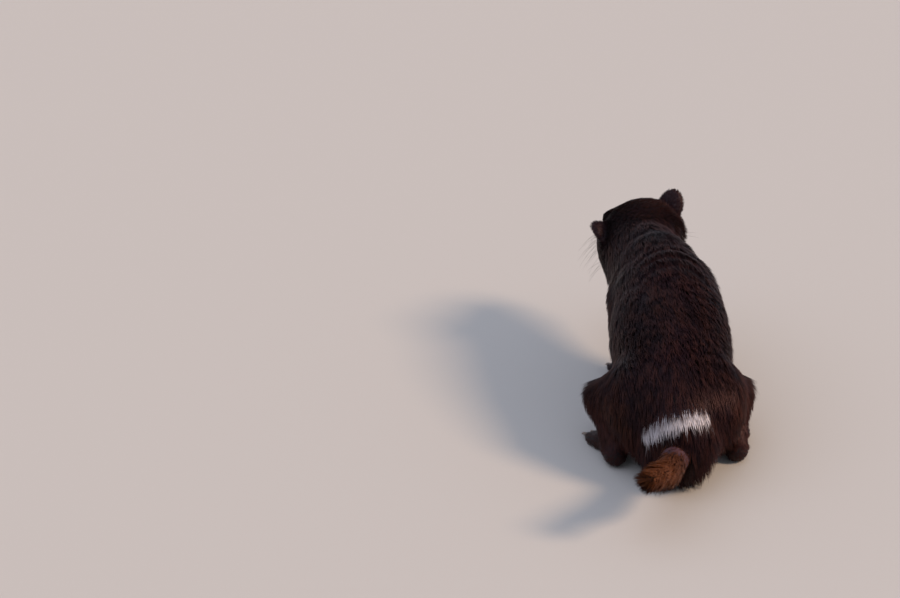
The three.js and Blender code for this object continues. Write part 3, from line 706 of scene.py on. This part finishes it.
def shaped_muzzle(points, normals):
    """The points with nostrils, the groove below the nose, and the mouth between its lips."""
    own = head_measures(points)
    forward, right, up = own.T
    front = ease(98, 104, forward) * (nose_gap(own) < 1.3)
    wide = np.abs(right)
    hole = np.exp(-((((wide - NOSTRIL[0]) / 2.4) ** 2 + ((up - NOSTRIL[1]) / 2.2) ** 2) ** 1.5))
    slit = hump(wide, 9.6, 3.2) * hump(up, -1.6 - 0.3 * (wide - 8), 1.0)
    groove = hump(right, 0, 0.8) * ease(-29, -26, up) * ease(2, -4, up) * (forward > 90)
    level, along = mouth_place(own)
    mouth = ease(1.0, 0.9, along) * (forward > MOUTH_BACK)
    lips = 0.9 * hump(level, 3, 1.9) + 0.45 * hump(level, -2.6, 1.6)
    parting = 2.8 * hump(level, 0, 0.8)
    change = (lips - parting) * mouth - 0.9 * groove
    points = points + normals * change[:, None] * MM
    back = np.array(head_way(-1, 0, 0))
    return points + np.outer((3.2 * hole + 2.2 * slit) * front * MM, back)


# For each kind of solid: rounds of smoothing of the shape and of the values below, depth of the coat
# over the skin as a share of the back's, length of hair as a share of the back's, its lift off the
# skin, and how densely it grows.
REGIONS = {
    "torso": (60, 110, 1.0, 1.0, 0.2, 1.0),
    "neck": (60, 110, 0.9, 0.9, 0.21, 1.0),
    "head": (18, 60, 0.4, 0.4, 0.22, 2.2),
    "ear": (3, 4, 0.0, 0.13, 0.16, 4.2),
    "nose": (5, 3, 0.0, 0.0, 0.2, 0.0),
    "tail": (20, 12, 0.35, 1.0, 0.22, 1.5),
    "thigh": (60, 90, 0.85, 0.85, 0.18, 1.05),
    "upper_arm": (60, 90, 0.75, 0.7, 0.18, 1.1),
    "shank": (24, 42, 0.45, 0.5, 0.18, 1.4),
    "forearm": (24, 42, 0.35, 0.42, 0.18, 1.5),
    "foot": (7, 12, 0.1, 0.2, 0.18, 2.2),
}


def region_of(name):
    """The kind of a solid by its name."""
    if name.startswith("ear_"):
        return "ear"
    return next(kind for kind in REGIONS if kind != "ear" and name.endswith(kind))


KINDS = [region_of(name) for name in FLESH]


def owners(points, solid_points, solid_faces, face_owner):
    """For each point the number of the nearest solid."""
    tree = BVHTree.FromPolygons(solid_points.tolist(), solid_faces.tolist())
    found = [tree.find_nearest(Vector(p))[2] for p in points]
    return face_owner[np.array(found)]


def line_gap(points, line):
    """How far each point lies from a line through some points."""
    best = np.full(len(points), np.inf)
    for a, b in zip(line, line[1:]):
        a, b = np.array(a), np.array(b)
        span = b - a
        share = np.clip((points - a) @ span / (span @ span), 0, 1)
        best = np.minimum(best, np.linalg.norm(points - a - share[:, None] * span, axis=1))
    return best


def white_marks(points):
    """The white bar across the rump and the one on the chest: 1 inside, 0 outside."""
    ragged = (1.6 * cloud(points, 6 * MM, 5) + 1.2 * cloud(points, 2.5 * MM, 8)) * MM
    rump = 1 - ease(9 * MM, 13 * MM, line_gap(points, RUMP_BAR) + ragged)
    chest = 1 - ease(9 * MM, 14 * MM, line_gap(points, CHEST_BAR) + ragged)
    return np.maximum(rump, chest)


def line_way(a, b):
    """The direction from one point to another as an array."""
    return np.array((b - a).normalized())


def coat_lie(points, owner):
    """The way that the hair lies at each point: from the nose back, and down each leg to the toes."""
    forward, _, up = body_measures(points).T
    lie = np.zeros_like(points)
    for index, (name, kind) in enumerate(zip(FLESH, KINDS)):
        here = owner == index
        if not here.any():
            continue
        p = points[here]
        if kind in ("head", "nose"):
            way = p - np.array(on_head(112, 0, -2))
            way += np.outer(np.linalg.norm(way, axis=1) * 0.35, np.array(head_way(-1, 0, -0.1)))
        elif kind == "ear":
            side = SIDES[name.removeprefix("ear_")]
            way = p - np.array(on_head(-6, side * 30, -6))
        elif kind == "torso":
            low, rump = ease(150, 60, up[here]), ease(90, 10, forward[here])
            way = np.array(toward(-1, 0, -0.12)) + np.outer(low, np.array(toward(-0.1, 0, -1)) * 0.7)
            way += np.outer(rump, np.array(toward(-0.2, 0, -1)) * 0.9)
        elif kind == "neck":
            way = np.tile(np.array(toward(-1, 0, -0.25)), (len(p), 1))
        elif kind == "tail":
            share = tail_share(p)
            ahead = np.array([tail_point(min(t + 0.03, 1.03)) for t in share])
            behind = np.array([tail_point(t) for t in share])
            way = unit(ahead - behind) + unit(p - behind) * 0.06
        else:
            leg = LEGS[name.removesuffix("_" + kind)]
            root, bend, ankle, _ = leg["joints"]
            ways = {
                "thigh": np.array(toward(-0.7, 0, -1)),
                "upper_arm": line_way(root, bend) + np.array(toward(-0.2, 0, -0.3)),
                "shank": line_way(bend, ankle) + np.array(toward(0, 0, -0.2)),
                "forearm": line_way(bend, ankle),
                "foot": np.array(leg["heading"]) + np.array(toward(0, 0, -0.15)),
            }
            way = np.tile(ways[kind], (len(p), 1))
        lie[here] = unit(way)
    return lie


def tail_share(points):
    """How far along the tail each point lies, from 0 at the root to 1 at the tip."""
    steps = np.linspace(0, 1, 41)
    line = np.array([tail_point(t) for t in steps])
    gaps = np.linalg.norm(points[:, None, :] - line[None], axis=2)
    return steps[gaps.argmin(1)]


class DEVIL_OT_skin(Operator):
    """Builds the one skin that stands for all the solids of flesh"""

    bl_idname = "devil.skin"
    bl_label = "Skin"

    def execute(self, context):
        size, coat = context.scene.devil_skin, context.scene.devil_coat
        solids = joined_solids()
        mesh = remeshed(*solids[:2], size.voxel)
        mesh.name = "skin"
        points = points_of(mesh)
        owner = owners(points, *solids)
        numbers = np.array([REGIONS[kind] for kind in KINDS])
        smoother = Smoother(mesh)
        move_points(mesh, smoother.relax(points, smoother.run(numbers[owner, 0], 6)))
        refined_face(mesh)
        points = points_of(mesh)
        owner = owners(points, *solids)
        numbers = numbers[owner]
        on = {kind: (np.array(KINDS) == kind)[owner] for kind in REGIONS}
        smoother = Smoother(mesh)
        blend = smoother.run(numbers[:, 1], 2)
        depth, length, lift, grow = smoother.relax(numbers[:, 2:], blend, 0.8).T
        depth = depth * size.coat_depth
        # The coat thins toward the nose, so the skin lies nearer to the solids there.
        own = head_measures(points)
        on_face = on["head"] | on["nose"]
        face = ease(-20, 55, own[:, 0]) * on_face
        muzzle = ease(50, 90, own[:, 0]) * on_face
        pad = ease(1.12, 1.03, nose_gap(own)) * on_face
        depth = depth * (1 - 0.5 * face - 0.3 * muzzle) * (1 - pad)
        normals = smoother.run(normals_of(mesh), 2)
        points = points - unit(normals) * depth[:, None]
        points = shaped_muzzle(points, unit(normals))
        points = shaped_lids(points, context.scene.devil_face.eye_radius)

        # Rings at the bare root of the tail, and folds on the nape.
        share = np.zeros(len(points))
        share[on["tail"]] = tail_share(points[on["tail"]])
        rings = on["tail"] * (1 - ease(0.3, 0.46, share))
        waves = np.cos(share * TAIL_LENGTH / RING_WIDTH * 2 * math.pi) * RING_HEIGHT * MM
        crease = waves * rings + self.nape(points)
        points = points + unit(normals) * smoother.run(crease, 2)[:, None]
        points[:, 2] = np.maximum(points[:, 2], FLOOR_CLEARANCE * MM)
        move_points(mesh, points)

        # Hair is short on the face, shorter at lids and lips, and leaves soles, lips and nose pad bare.
        length = length * coat.back_length * (1 - 0.5 * face - 0.25 * muzzle)
        brush = smoother.run(ease(0.3, 0.6, share), 6)
        length = np.where(on["tail"], coat.brush_length * (0.2 + 0.7 * brush), length)
        lie = smoother.relax(coat_lie(points, owner), blend * 0.7, 0.8)
        sole = on["foot"] * ease(6 * MM, 2 * MM, points[:, 2])
        inner = on["ear"] * self.ear_opening(owner, normals)
        bare = np.clip(on["ear"] * 0.3 + inner * 0.6 + rings * 0.9 + sole * 0.8, 0, 1)
        under = ease(2.0, 0.6, points[:, 2] / MM)
        lid = np.minimum(lid_share(points, 1)[0], lid_share(points, -1)[0])
        level, along = mouth_place(own)
        at_mouth = (along < 1) * (own[:, 0] > MOUTH_BACK) * on_face
        lip = hump(level, -0.3, 2.0) * at_mouth
        leather = np.clip(pad + lip + ease(1.6, 1.3, lid), 0, 1)
        grow = grow * (1 - sole) * (1 - under) * (1 - 0.85 * rings) * (1 - 0.75 * inner)
        grow = np.where(on["nose"], 2.2, grow) * (1 + 1.2 * face) * ease(1.35, 2.0, lid) * (1 - leather)
        short = (1 - 0.6 * ease(3.2, 1.6, lid)) * (1 - 0.45 * hump(level, 4, 3) * at_mouth)
        fields = {
            "lie": unit(lie),
            "hair_length": smoother.run(length * short, 5),
            "hair_lift": lift * (1 - 0.3 * face),
            "hair_grow": np.maximum(grow, 0),
            "bare": smoother.run(bare, 3),
            "leather": smoother.run(leather, 1),
            "white": white_marks(points),
            "owner": owner.astype(float),
        }
        for name, values in fields.items():
            write_field(mesh, name, values)
        skin = show("skin", mesh, hide())
        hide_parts(*FLESH)
        return {"FINISHED"}

    def nape(self, points):
        """The shallow folds that cross the nape, where the raised head presses it together."""
        forward, right, up = body_measures(points).T
        across = ease(60, 20, np.abs(right - CHEST)) * ease(170, 200, up)
        place = forward + 0.006 * (right - CHEST) ** 2
        window = ease(225, 250, place) * ease(318, 290, place)
        return np.cos(place / FOLD_WIDTH * 2 * math.pi) * window * across * FOLD_HEIGHT * MM

    def ear_opening(self, owner, normals):
        """How much each point faces into the cup of an ear: 1 inside, 0 behind."""
        inner = np.zeros(len(owner))
        for name, side in SIDES.items():
            here = owner == FLESH.index(f"ear_{name}")
            into = np.array(head_way(0.75, side * 0.6, 0.2))
            inner[here] = ease(0.1, 0.5, unit(normals[here]) @ into)
        return inner


# The coat.

# In millimetres: where the face's piece of the coat starts in the head's measures, the length below which
# a tuft has fewer points, and how far a tuft leans to the middle of its clump at most.
FACE_START = 28
SHORT_HAIR = 9
CLUMP_REACH = 12
TUFTS_IN_CLUMP = 9
TUFT_PATCH = 0.003  # size of a tuft's patch in the map for baking

# The torso's coat: its rump ends and its shoulders start so far forward, and its back starts so far above
# the middle of the side.
RUMP_END = 95
SHOULDERS_START = 290
BACK_RISE = 28

# The solids that each piece of the coat grows on. The head's coat has two pieces and the torso's four.
COAT_PIECES = {
    "coat_face": ["head", "nose"],
    "coat_head": ["head", "ear_left", "ear_right"],
    "coat_neck": ["neck"],
    "coat_shoulders": ["torso"],
    "coat_back": ["torso"],
    "coat_flanks": ["torso"],
    "coat_rump": ["torso"],
    "coat_tail": ["tail"],
    "coat_hind_right": ["hind_right_thigh", "hind_right_shank", "hind_right_foot"],
    "coat_hind_left": ["hind_left_thigh", "hind_left_shank", "hind_left_foot"],
    "coat_fore_right": ["fore_right_upper_arm", "fore_right_forearm", "fore_right_foot"],
    "coat_fore_left": ["fore_left_upper_arm", "fore_left_forearm", "fore_left_foot"],
}


def torso_piece(points):
    """Which of the four pieces of the trunk's coat each point belongs to."""
    forward, _, up = body_measures(points).T
    middle = np.interp(forward, [0, 100, 200, 300, 420], [70, 96, 124, 140, 160])
    names = np.where(up > middle + BACK_RISE, "coat_back", "coat_flanks").astype("U20")
    names[forward > SHOULDERS_START] = "coat_shoulders"
    names[forward < RUMP_END] = "coat_rump"
    return names


def unwrap(points, normals):
    """A place from 0 to 1 each way for each root: round the piece's long axis, and along it."""
    middle = points.mean(0)
    spread = points - middle
    _, axes = np.linalg.eigh(spread.T @ spread)
    long_axis = axes[:, 2]
    along = spread @ long_axis
    across = np.arctan2(normals @ axes[:, 1], normals @ axes[:, 0])
    u = (across + math.pi) / (2 * math.pi)
    v = (along - along.min()) / max(np.ptp(along), 1e-9)
    return np.stack([u, v], 1) * 0.99 + TUFT_PATCH


def tufts(spots, draw, segments):
    """Points, triangles, shares along and normals of thin, three-sided tufts that lie down."""
    roots, facing, lie = spots["root"], spots["facing"], spots["lie"]
    length, width, lift = spots["length"], spots["width"], spots["lift"]
    count = len(roots)
    into = np.minimum(np.sum(lie * facing, axis=1, keepdims=True), 0)
    lie = unit(lie - facing * into)
    # A slight tilt keeps the side defined where the hair stands straight up.
    tilted = facing + np.array([0.02, 0.03, 0.05])
    lie = unit(lie + unit(np.cross(tilted, lie)) * draw.normal(0, 0.09, count)[:, None])
    side = unit(np.cross(tilted, lie))
    above = np.cross(lie, side)
    curl = draw.normal(0, 0.07, count)
    steps = np.linspace(0, 1, segments + 1)
    rings, ways = [], []
    for step in steps:
        rise = length * lift * (1.25 * step - 0.62 * step**2) + width * (0.7 * step - 0.4)
        spine = (
            roots
            + lie * (length * step)[:, None]
            + above * rise[:, None]
            + side * (length * curl * step**2)[:, None]
            + spots["gather"] * step**1.4
        )
        half = (width * (1 - step) ** 0.7 * 0.5)[:, None]
        if step < 1:
            rings += [spine + side * half, spine + above * half * 0.8, spine - side * half]
            ways += [facing + side * 0.5, facing, facing - side * 0.5]
        else:
            rings.append(spine)
            ways.append(facing)
    points, ways = np.stack(rings, 1), unit(np.stack(ways, 1))
    faces = []
    for ring in range(segments - 1):
        for k in range(3):
            a, b = ring * 3 + k, ring * 3 + (k + 1) % 3
            faces += [(a, b, b + 3), (a, b + 3, a + 3)]
    last = (segments - 1) * 3
    faces += [(last + k, last + (k + 1) % 3, last + 3) for k in range(3)]
    each = points.shape[1]
    faces = np.array(faces)[None] + (np.arange(count) * each)[:, None, None]
    shares = np.repeat(steps, [3] * segments + [1])
    return points, faces.reshape(-1, 3), shares, ways


def clump_of(roots, facing, centres):
    """The number of the nearest clump's centre for each root, and the way there."""
    tree = KDTree(len(centres))
    for number, centre in enumerate(centres):
        tree.insert(roots[centre], number)
    tree.balance()
    near = np.array([tree.find(root)[1] for root in roots])
    middle = centres[near]
    way = roots[middle] - roots
    same_side = np.sum(facing * facing[middle], axis=1) > 0.7
    close = np.linalg.norm(way, axis=1) < CLUMP_REACH * MM
    return near, way * (same_side & close)[:, None]


def mesh_of(name, points, faces):
    """A mesh from arrays of points and triangles."""
    mesh = bpy.data.meshes.new(name)
    mesh.vertices.add(len(points))
    mesh.vertices.foreach_set("co", points.astype(np.float32).ravel())
    mesh.loops.add(len(faces) * 3)
    mesh.loops.foreach_set("vertex_index", faces.astype(np.int32).ravel())
    mesh.polygons.add(len(faces))
    mesh.polygons.foreach_set("loop_start", np.arange(len(faces), dtype=np.int32) * 3)
    mesh.update(calc_edges=True)
    return mesh


class DEVIL_OT_coat(Operator):
    """Grows the coat: tufts over the whole skin, in pieces, following the lie of the hair"""

    bl_idname = "devil.coat"
    bl_label = "Coat"

    def execute(self, context):
        coat = context.scene.devil_coat
        draw = np.random.default_rng(coat.seed)
        spots = self.spots(bpy.data.objects["skin"].data, coat, draw)
        trunk = torso_piece(spots["root"])
        face = head_measures(spots["root"])[:, 0] > FACE_START
        material = guard_hair()
        for piece, nodes in COAT_PIECES.items():
            mine = np.isin(spots["name"], nodes)
            if nodes == ["torso"]:
                mine &= trunk == piece
            elif piece == "coat_face":
                mine &= face
            elif piece == "coat_head":
                mine &= ~face
            for short in (False, True):
                chosen = mine & ((spots["length"] < SHORT_HAIR * MM) == short)
                if chosen.any():
                    name = piece + ("_short" if short else "")
                    own = {key: values[chosen] for key, values in spots.items()}
                    show(name, self.piece(name, own, draw, 2 if short else 3), material)
        return {"FINISHED"}

    def spots(self, skin, coat, draw):
        """Where each tuft grows, and its direction, size and colour, as arrays by name."""
        triangles = triangles_of(skin)
        area = np.linalg.norm(face_normals(points_of(skin), triangles), axis=1)
        total = np.cumsum(area * read_field(skin, "hair_grow")[triangles].mean(1))
        number = coat.tufts // 1
        picks = (np.arange(number) + draw.random(number)) / number * total[-1]
        face = np.searchsorted(total, picks).clip(0, len(triangles) - 1)
        shares = draw.dirichlet((1, 1, 1), number)

        def at_root(values):
            return np.einsum("nk,nk...->n...", shares, values[triangles[face]])

        fields = ("hair_length", "hair_lift", "hair_grow", "lie")
        length, lift, dense, lie = (at_root(read_field(skin, field)) for field in fields)
        roots, facing = at_root(points_of(skin)), unit(at_root(normals_of(skin)))
        owner = read_field(skin, "owner")[triangles[face, 0]].round().astype(int)
        names = np.array(FLESH)[owner]
        centres = draw.choice(number, number // TUFTS_IN_CLUMP, replace=False)
        near, way = clump_of(roots, facing, centres)
        strand = draw.random(number)[near]
        white = white_marks(roots)
        sway = np.stack([cloud(roots, 30 * MM, seed) for seed in (1, 2, 3)], 1)
        length = length * (1 - 0.35 * white) * (0.86 + 0.2 * strand + draw.normal(0, 0.08, number))
        lift = lift * (0.75 + 0.5 * strand)
        width = coat.thickness * 1.0 / np.sqrt(np.maximum(dense, 0.7))
        contrast = 0.4 + 0.6 * ease(6 * MM, 22 * MM, length)
        tint = 0.45 + 0.3 * cloud(roots, 30 * MM, 7) + draw.normal(0, 0.06, number)
        tint = tint + 0.24 * contrast * (strand - 0.5) + 0.5 * (1 - contrast)
        return {
            "name": names,
            "root": roots,
            "facing": facing,
            "lie": unit(unit(lie) + sway * 0.14),
            "length": np.maximum(length, 1.5 * MM),
            "width": width * draw.uniform(0.75, 1.2, number),
            "lift": lift * draw.uniform(0.85, 1.2, number),
            "gather": way * (0.6 - 0.4 * white)[:, None],
            "tint": np.clip(tint, 0, 1),
            "rust_and_sunlight": np.clip(self.rust_and_sunlight(roots, names) + 0.12 * contrast * (strand - 0.5), 0, 1),
            "white": white,
        }

    def rust_and_sunlight(self, roots, names):
        """How rusty each tuft is, partly its own brown and partly painted sunlight: more on the hind legs
        and the end of the tail.
        """
        rust_and_sunlight_share = np.full(len(roots), 0.02)
        # The hind legs and the tail's brush get more rust as painted sunlight, the orange of low sun
        # shining through their hair, over their own faint brown.
        rust_and_sunlight_share[np.char.find(names, "hind") >= 0] = 0.06
        tail = names == "tail"
        rust_and_sunlight_share[tail] = 0.25 + 0.45 * ease(0.3, 0.8, tail_share(roots[tail]))
        return rust_and_sunlight_share

    def piece(self, name, spots, draw, segments):
        """One piece of the coat with its fields and its map for baking."""
        made, faces, shares, ways = tufts(spots, draw, segments)
        count, each = made.shape[:2]
        points = made.reshape(-1, 3)
        points[:, 2] = np.maximum(points[:, 2], FLOOR_CLEARANCE * MM)
        mesh = mesh_of(name, points, faces)
        write_field(mesh, "along", np.tile(shares, count))
        for key in ("tint", "rust_and_sunlight", "white"):
            write_field(mesh, key, np.repeat(spots[key], each))
        # Each tuft is shaded with the skin below it, so that the coat shines as one surface.
        write_field(mesh, "custom_normal", ways.reshape(-1, 3))
        place = unwrap(spots["root"], spots["facing"])
        patch = np.stack([np.tile([0, 0.5, 1], each)[:each], shares], 1) * TUFT_PATCH
        corners = (place[:, None, :] + patch[None]).reshape(-1, 2)
        bake = mesh.uv_layers.new(name="OFBake")
        bake.data.foreach_set("uv", corners[faces.ravel()].astype(np.float32).ravel())
        return mesh


# Eyes, claws and whiskers.

# How near to the eye's gaze the cornea, the iris and the pupil start, as cosines, and how far the cornea
# stands out as a share of the radius.
CORNEA_EDGE = 0.78
IRIS_EDGE = 0.8
PUPIL_EDGE = 0.965
CORNEA_BULGE = 0.055
CLAW_RADIUS = 2.7
WHISKER_RADIUS = 0.2


class DEVIL_OT_eyes(Operator):
    """Makes the eyes: a ball with a raised cornea, an iris and a round pupil"""

    bl_idname = "devil.eyes"
    bl_label = "Eyes"

    def execute(self, context):
        radius = context.scene.devil_face.eye_radius
        material = eye_cornea()
        for name, side in SIDES.items():
            centre, gaze = eye_axes(side)[:2]
            shaped = bmesh.new()
            bmesh.ops.create_uvsphere(shaped, u_segments=40, v_segments=28, radius=radius)
            turn = Vector((0, 0, 1)).rotation_difference(gaze).to_matrix().to_4x4()
            bmesh.ops.transform(shaped, matrix=turn, verts=shaped.verts)
            ring = []
            for vert in shaped.verts:
                facing = vert.co.normalized().dot(gaze)
                bulge = max(facing - CORNEA_EDGE, 0) / (1 - CORNEA_EDGE)
                vert.co *= 1 + CORNEA_BULGE * bulge
                vert.co += centre
                ring.append(1.0 if IRIS_EDGE < facing < PUPIL_EDGE else 0.0)
            mesh = bpy.data.meshes.new(f"eyeball_{name}")
            shaped.to_mesh(mesh)
            shaped.free()
            write_field(mesh, "iris", np.array(ring))
            ball = show(f"eyeball_{name}", mesh, material)
            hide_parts(f"eye_{name}")
        return {"FINISHED"}


def swept(line, widths, sides=8, squeeze=1.0):
    """Points and triangles of a closed tube along a line of points, with a width at each."""
    line = [Vector(p) for p in line]
    points, faces = [], []
    for i, (p, width) in enumerate(zip(line, widths)):
        along = (line[min(i + 1, len(line) - 1)] - line[max(i - 1, 0)]).normalized()
        across = along.cross(Vector((0, 0, 1)))
        across = across.normalized() if across.length > 1e-6 else Vector((1, 0, 0))
        lifted = across.cross(along)
        for k in range(sides):
            turn = 2 * math.pi * k / sides
            spoke = across * (math.cos(turn) * squeeze) + lifted * math.sin(turn)
            points.append(p + spoke * width)
    for i in range(len(line) - 1):
        for k in range(sides):
            a, b = i * sides + k, i * sides + (k + 1) % sides
            faces += [(a, a + sides, b + sides), (a, b + sides, b)]
    last = (len(line) - 1) * sides
    for k in range(1, sides - 1):
        faces += [(0, k, k + 1), (last, last + k + 1, last + k)]
    return np.array([list(p) for p in points]), np.array(faces)


def gathered(name, parts):
    """One mesh from several sets of points, triangles and shares along."""
    points, faces, along = stacked(parts)
    mesh = mesh_of(name, points, faces)
    write_field(mesh, "along", along)
    return mesh


class DEVIL_OT_claws(Operator):
    """Makes the long, blunt, bent claws of all four feet"""

    bl_idname = "devil.claws"
    bl_label = "Claws"

    def execute(self, context):
        length = context.scene.devil_face.claw_length
        material = claw_horn()
        steps = np.linspace(0, 1, 9)
        for foot, leg in LEGS.items():
            parts = []
            for _, tip, along in toe_lines(leg):
                line = []
                # Each claw springs from the top of its toe and bends down to the floor.
                for t in steps:
                    p = tip + along * (TOE_RADIUS * 0.2 * MM + length * (t - 0.1))
                    p.z += (2.8 + 1.2 * math.sin(math.pi * t) - 5.4 * t * t) * MM
                    line.append(p)
                widths = (CLAW_RADIUS * (1 - steps) ** 0.55 + 0.25) * MM
                points, faces = swept(line, widths, 10, 0.72)
                points[:, 2] = np.maximum(points[:, 2], FLOOR_CLEARANCE * MM)
                parts.append((points, faces, np.repeat(steps, 10)))
            show(f"claws_{foot}", gathered(f"claws_{foot}", parts), material)
        return {"FINISHED"}


class DEVIL_OT_whiskers(Operator):
    """Makes the whiskers of the muzzle, brow and cheeks"""

    bl_idname = "devil.whiskers"
    bl_label = "Whiskers"

    def execute(self, context):
        longest = context.scene.devil_face.whisker_length
        draw = np.random.default_rng(5)
        skin = bpy.data.objects["skin"]
        # Places forward and up on the head, and shares of the longest: on the muzzle, brow and cheeks.
        places = [(94 - 8 * k, -10 - 5 * row, 0.55 + 0.09 * k) for row in range(4) for k in range(5)]
        places += [(52 + 5 * k, 26, 0.5) for k in range(3)]
        places += [(10 + 6 * k, -26, 0.6) for k in range(4)]
        parts = [
            self.whisker(skin, side, forward, up, share * longest, draw)
            for side in SIDES.values()
            for forward, up, share in places
        ]
        show("whiskers", gathered("whiskers", parts), whisker_keratin())
        return {"FINISHED"}

    def whisker(self, skin, side, forward, up, length, draw):
        """One whisker that springs from the skin and sweeps back."""
        inside = on_head(forward, 0, up)
        out = head_way(0.15, side, (up + 10) * 0.01)
        hit, root, _, _ = skin.ray_cast(inside + out * 0.12, -out)
        if not hit:
            raise RuntimeError("a whisker found no skin to grow from")
        way = head_way(0.1 + draw.normal(0, 0.12), side, draw.normal(-0.12, 0.12))
        back = head_way(-1, 0, -0.25)
        steps = np.linspace(0, 1, 8)
        line = [root + way * (length * t) + back * (length * 0.42 * t * t) for t in steps]
        widths = (WHISKER_RADIUS * (1 - steps) + 0.05) * MM
        points, faces = swept(line, widths, 4)
        return points, faces, np.repeat(steps, 4)


# The stage.

# The camera is behind the animal and to its left, and looks down. The angles are in degrees.
CAMERA_PLACE = at(-2453.87, -514.28, 1385.67)
CAMERA_PITCH = 24
CAMERA_YAW = 4.5


class DEVIL_OT_stage(Operator):
    """Sets the plain floor, the soft lights and the camera"""

    bl_idname = "devil.stage"
    bl_label = "Stage"

    def execute(self, context):
        stage = context.scene.devil_stage
        shaped = bmesh.new()
        bmesh.ops.create_grid(shaped, x_segments=1, y_segments=1, size=14)
        mesh = bpy.data.meshes.new("studio_floor")
        shaped.to_mesh(mesh)
        shaped.free()
        mesh.materials.append(studio_floor())
        placed("studio_floor", mesh)

        world = bpy.data.worlds.new("soft_room")
        context.scene.world = world
        world.use_nodes = True
        tree = world.node_tree
        feed(tree, tree.nodes["Background"], Color="#C8CEDC", Strength=0.7)

        self.lamp("key_lamp", toward(0.45, -1.0, -0.85), 16, stage.key_strength, "#FFDDBD")
        self.lamp("top_lamp", toward(0.1, 0.45, -1.0), 70, stage.fill_strength, "#DDE4FF")

        camera = bpy.data.cameras.new("camera")
        camera.lens = stage.lens
        camera.sensor_width = 36.0
        camera.clip_end = 60.0
        view = placed("camera", camera)
        view.location = CAMERA_PLACE
        pitch, yaw = math.radians(CAMERA_PITCH), math.radians(CAMERA_YAW)
        level = math.cos(pitch)
        gaze = toward(math.cos(yaw) * level, math.sin(yaw) * level, -math.sin(pitch))
        view.rotation_euler = gaze.to_track_quat("-Z", "Y").to_euler()
        context.scene.camera = view
        context.scene.view_settings.view_transform = "Standard"
        return {"FINISHED"}

    def lamp(self, name, way, width, strength, colour):
        """A soft light from far off that shines along a direction, as wide as some degrees of sky."""
        light = bpy.data.lights.new(name, "SUN")
        light.energy = strength
        light.angle = math.radians(width)
        light.color = linear(colour)[:3]
        placed(name, light).rotation_euler = way.to_track_quat("-Z", "Y").to_euler()


class DEVIL_PT_panel(Panel):
    """The sidebar's list of the devil's pieces"""

    bl_label = "Tasmanian devil"
    bl_idname = "DEVIL_PT_panel"
    bl_space_type = "VIEW_3D"
    bl_region_type = "UI"
    bl_category = "Devil"

    def draw(self, context):
        for operator in OPERATORS:
            self.layout.operator(operator.bl_idname)
        for name in GROUPS:
            group = getattr(context.scene, name)
            for key in group.bl_rna.properties.keys():
                if key not in ("rna_type", "name"):
                    self.layout.prop(group, key)


OPERATORS = [
    DEVIL_OT_stage,
    DEVIL_OT_skin,
    DEVIL_OT_coat,
    DEVIL_OT_eyes,
    DEVIL_OT_claws,
    DEVIL_OT_whiskers,
]
GROUPS = {
    "devil_skin": DevilSkin,
    "devil_coat": DevilCoat,
    "devil_face": DevilFace,
    "devil_stage": DevilStage,
}


def register():
    """Makes the settings, the operators and the panel known to Blender."""
    for name, group in GROUPS.items():
        bpy.utils.register_class(group)
        setattr(bpy.types.Scene, name, PointerProperty(type=group))
    for operator in OPERATORS:
        bpy.utils.register_class(operator)
    bpy.utils.register_class(DEVIL_PT_panel)


def unregister():
    """Takes them away again."""
    bpy.utils.unregister_class(DEVIL_PT_panel)
    for operator in reversed(OPERATORS):
        bpy.utils.unregister_class(operator)
    for name, group in GROUPS.items():
        delattr(bpy.types.Scene, name)
        bpy.utils.unregister_class(group)


def main():
    """Builds every piece in order."""
    register()
    bpy.ops.devil.stage()
    bpy.ops.devil.skin()
    bpy.ops.devil.coat()
    bpy.ops.devil.eyes()
    bpy.ops.devil.claws()
    bpy.ops.devil.whiskers()


if __name__ == "__main__":
    main()
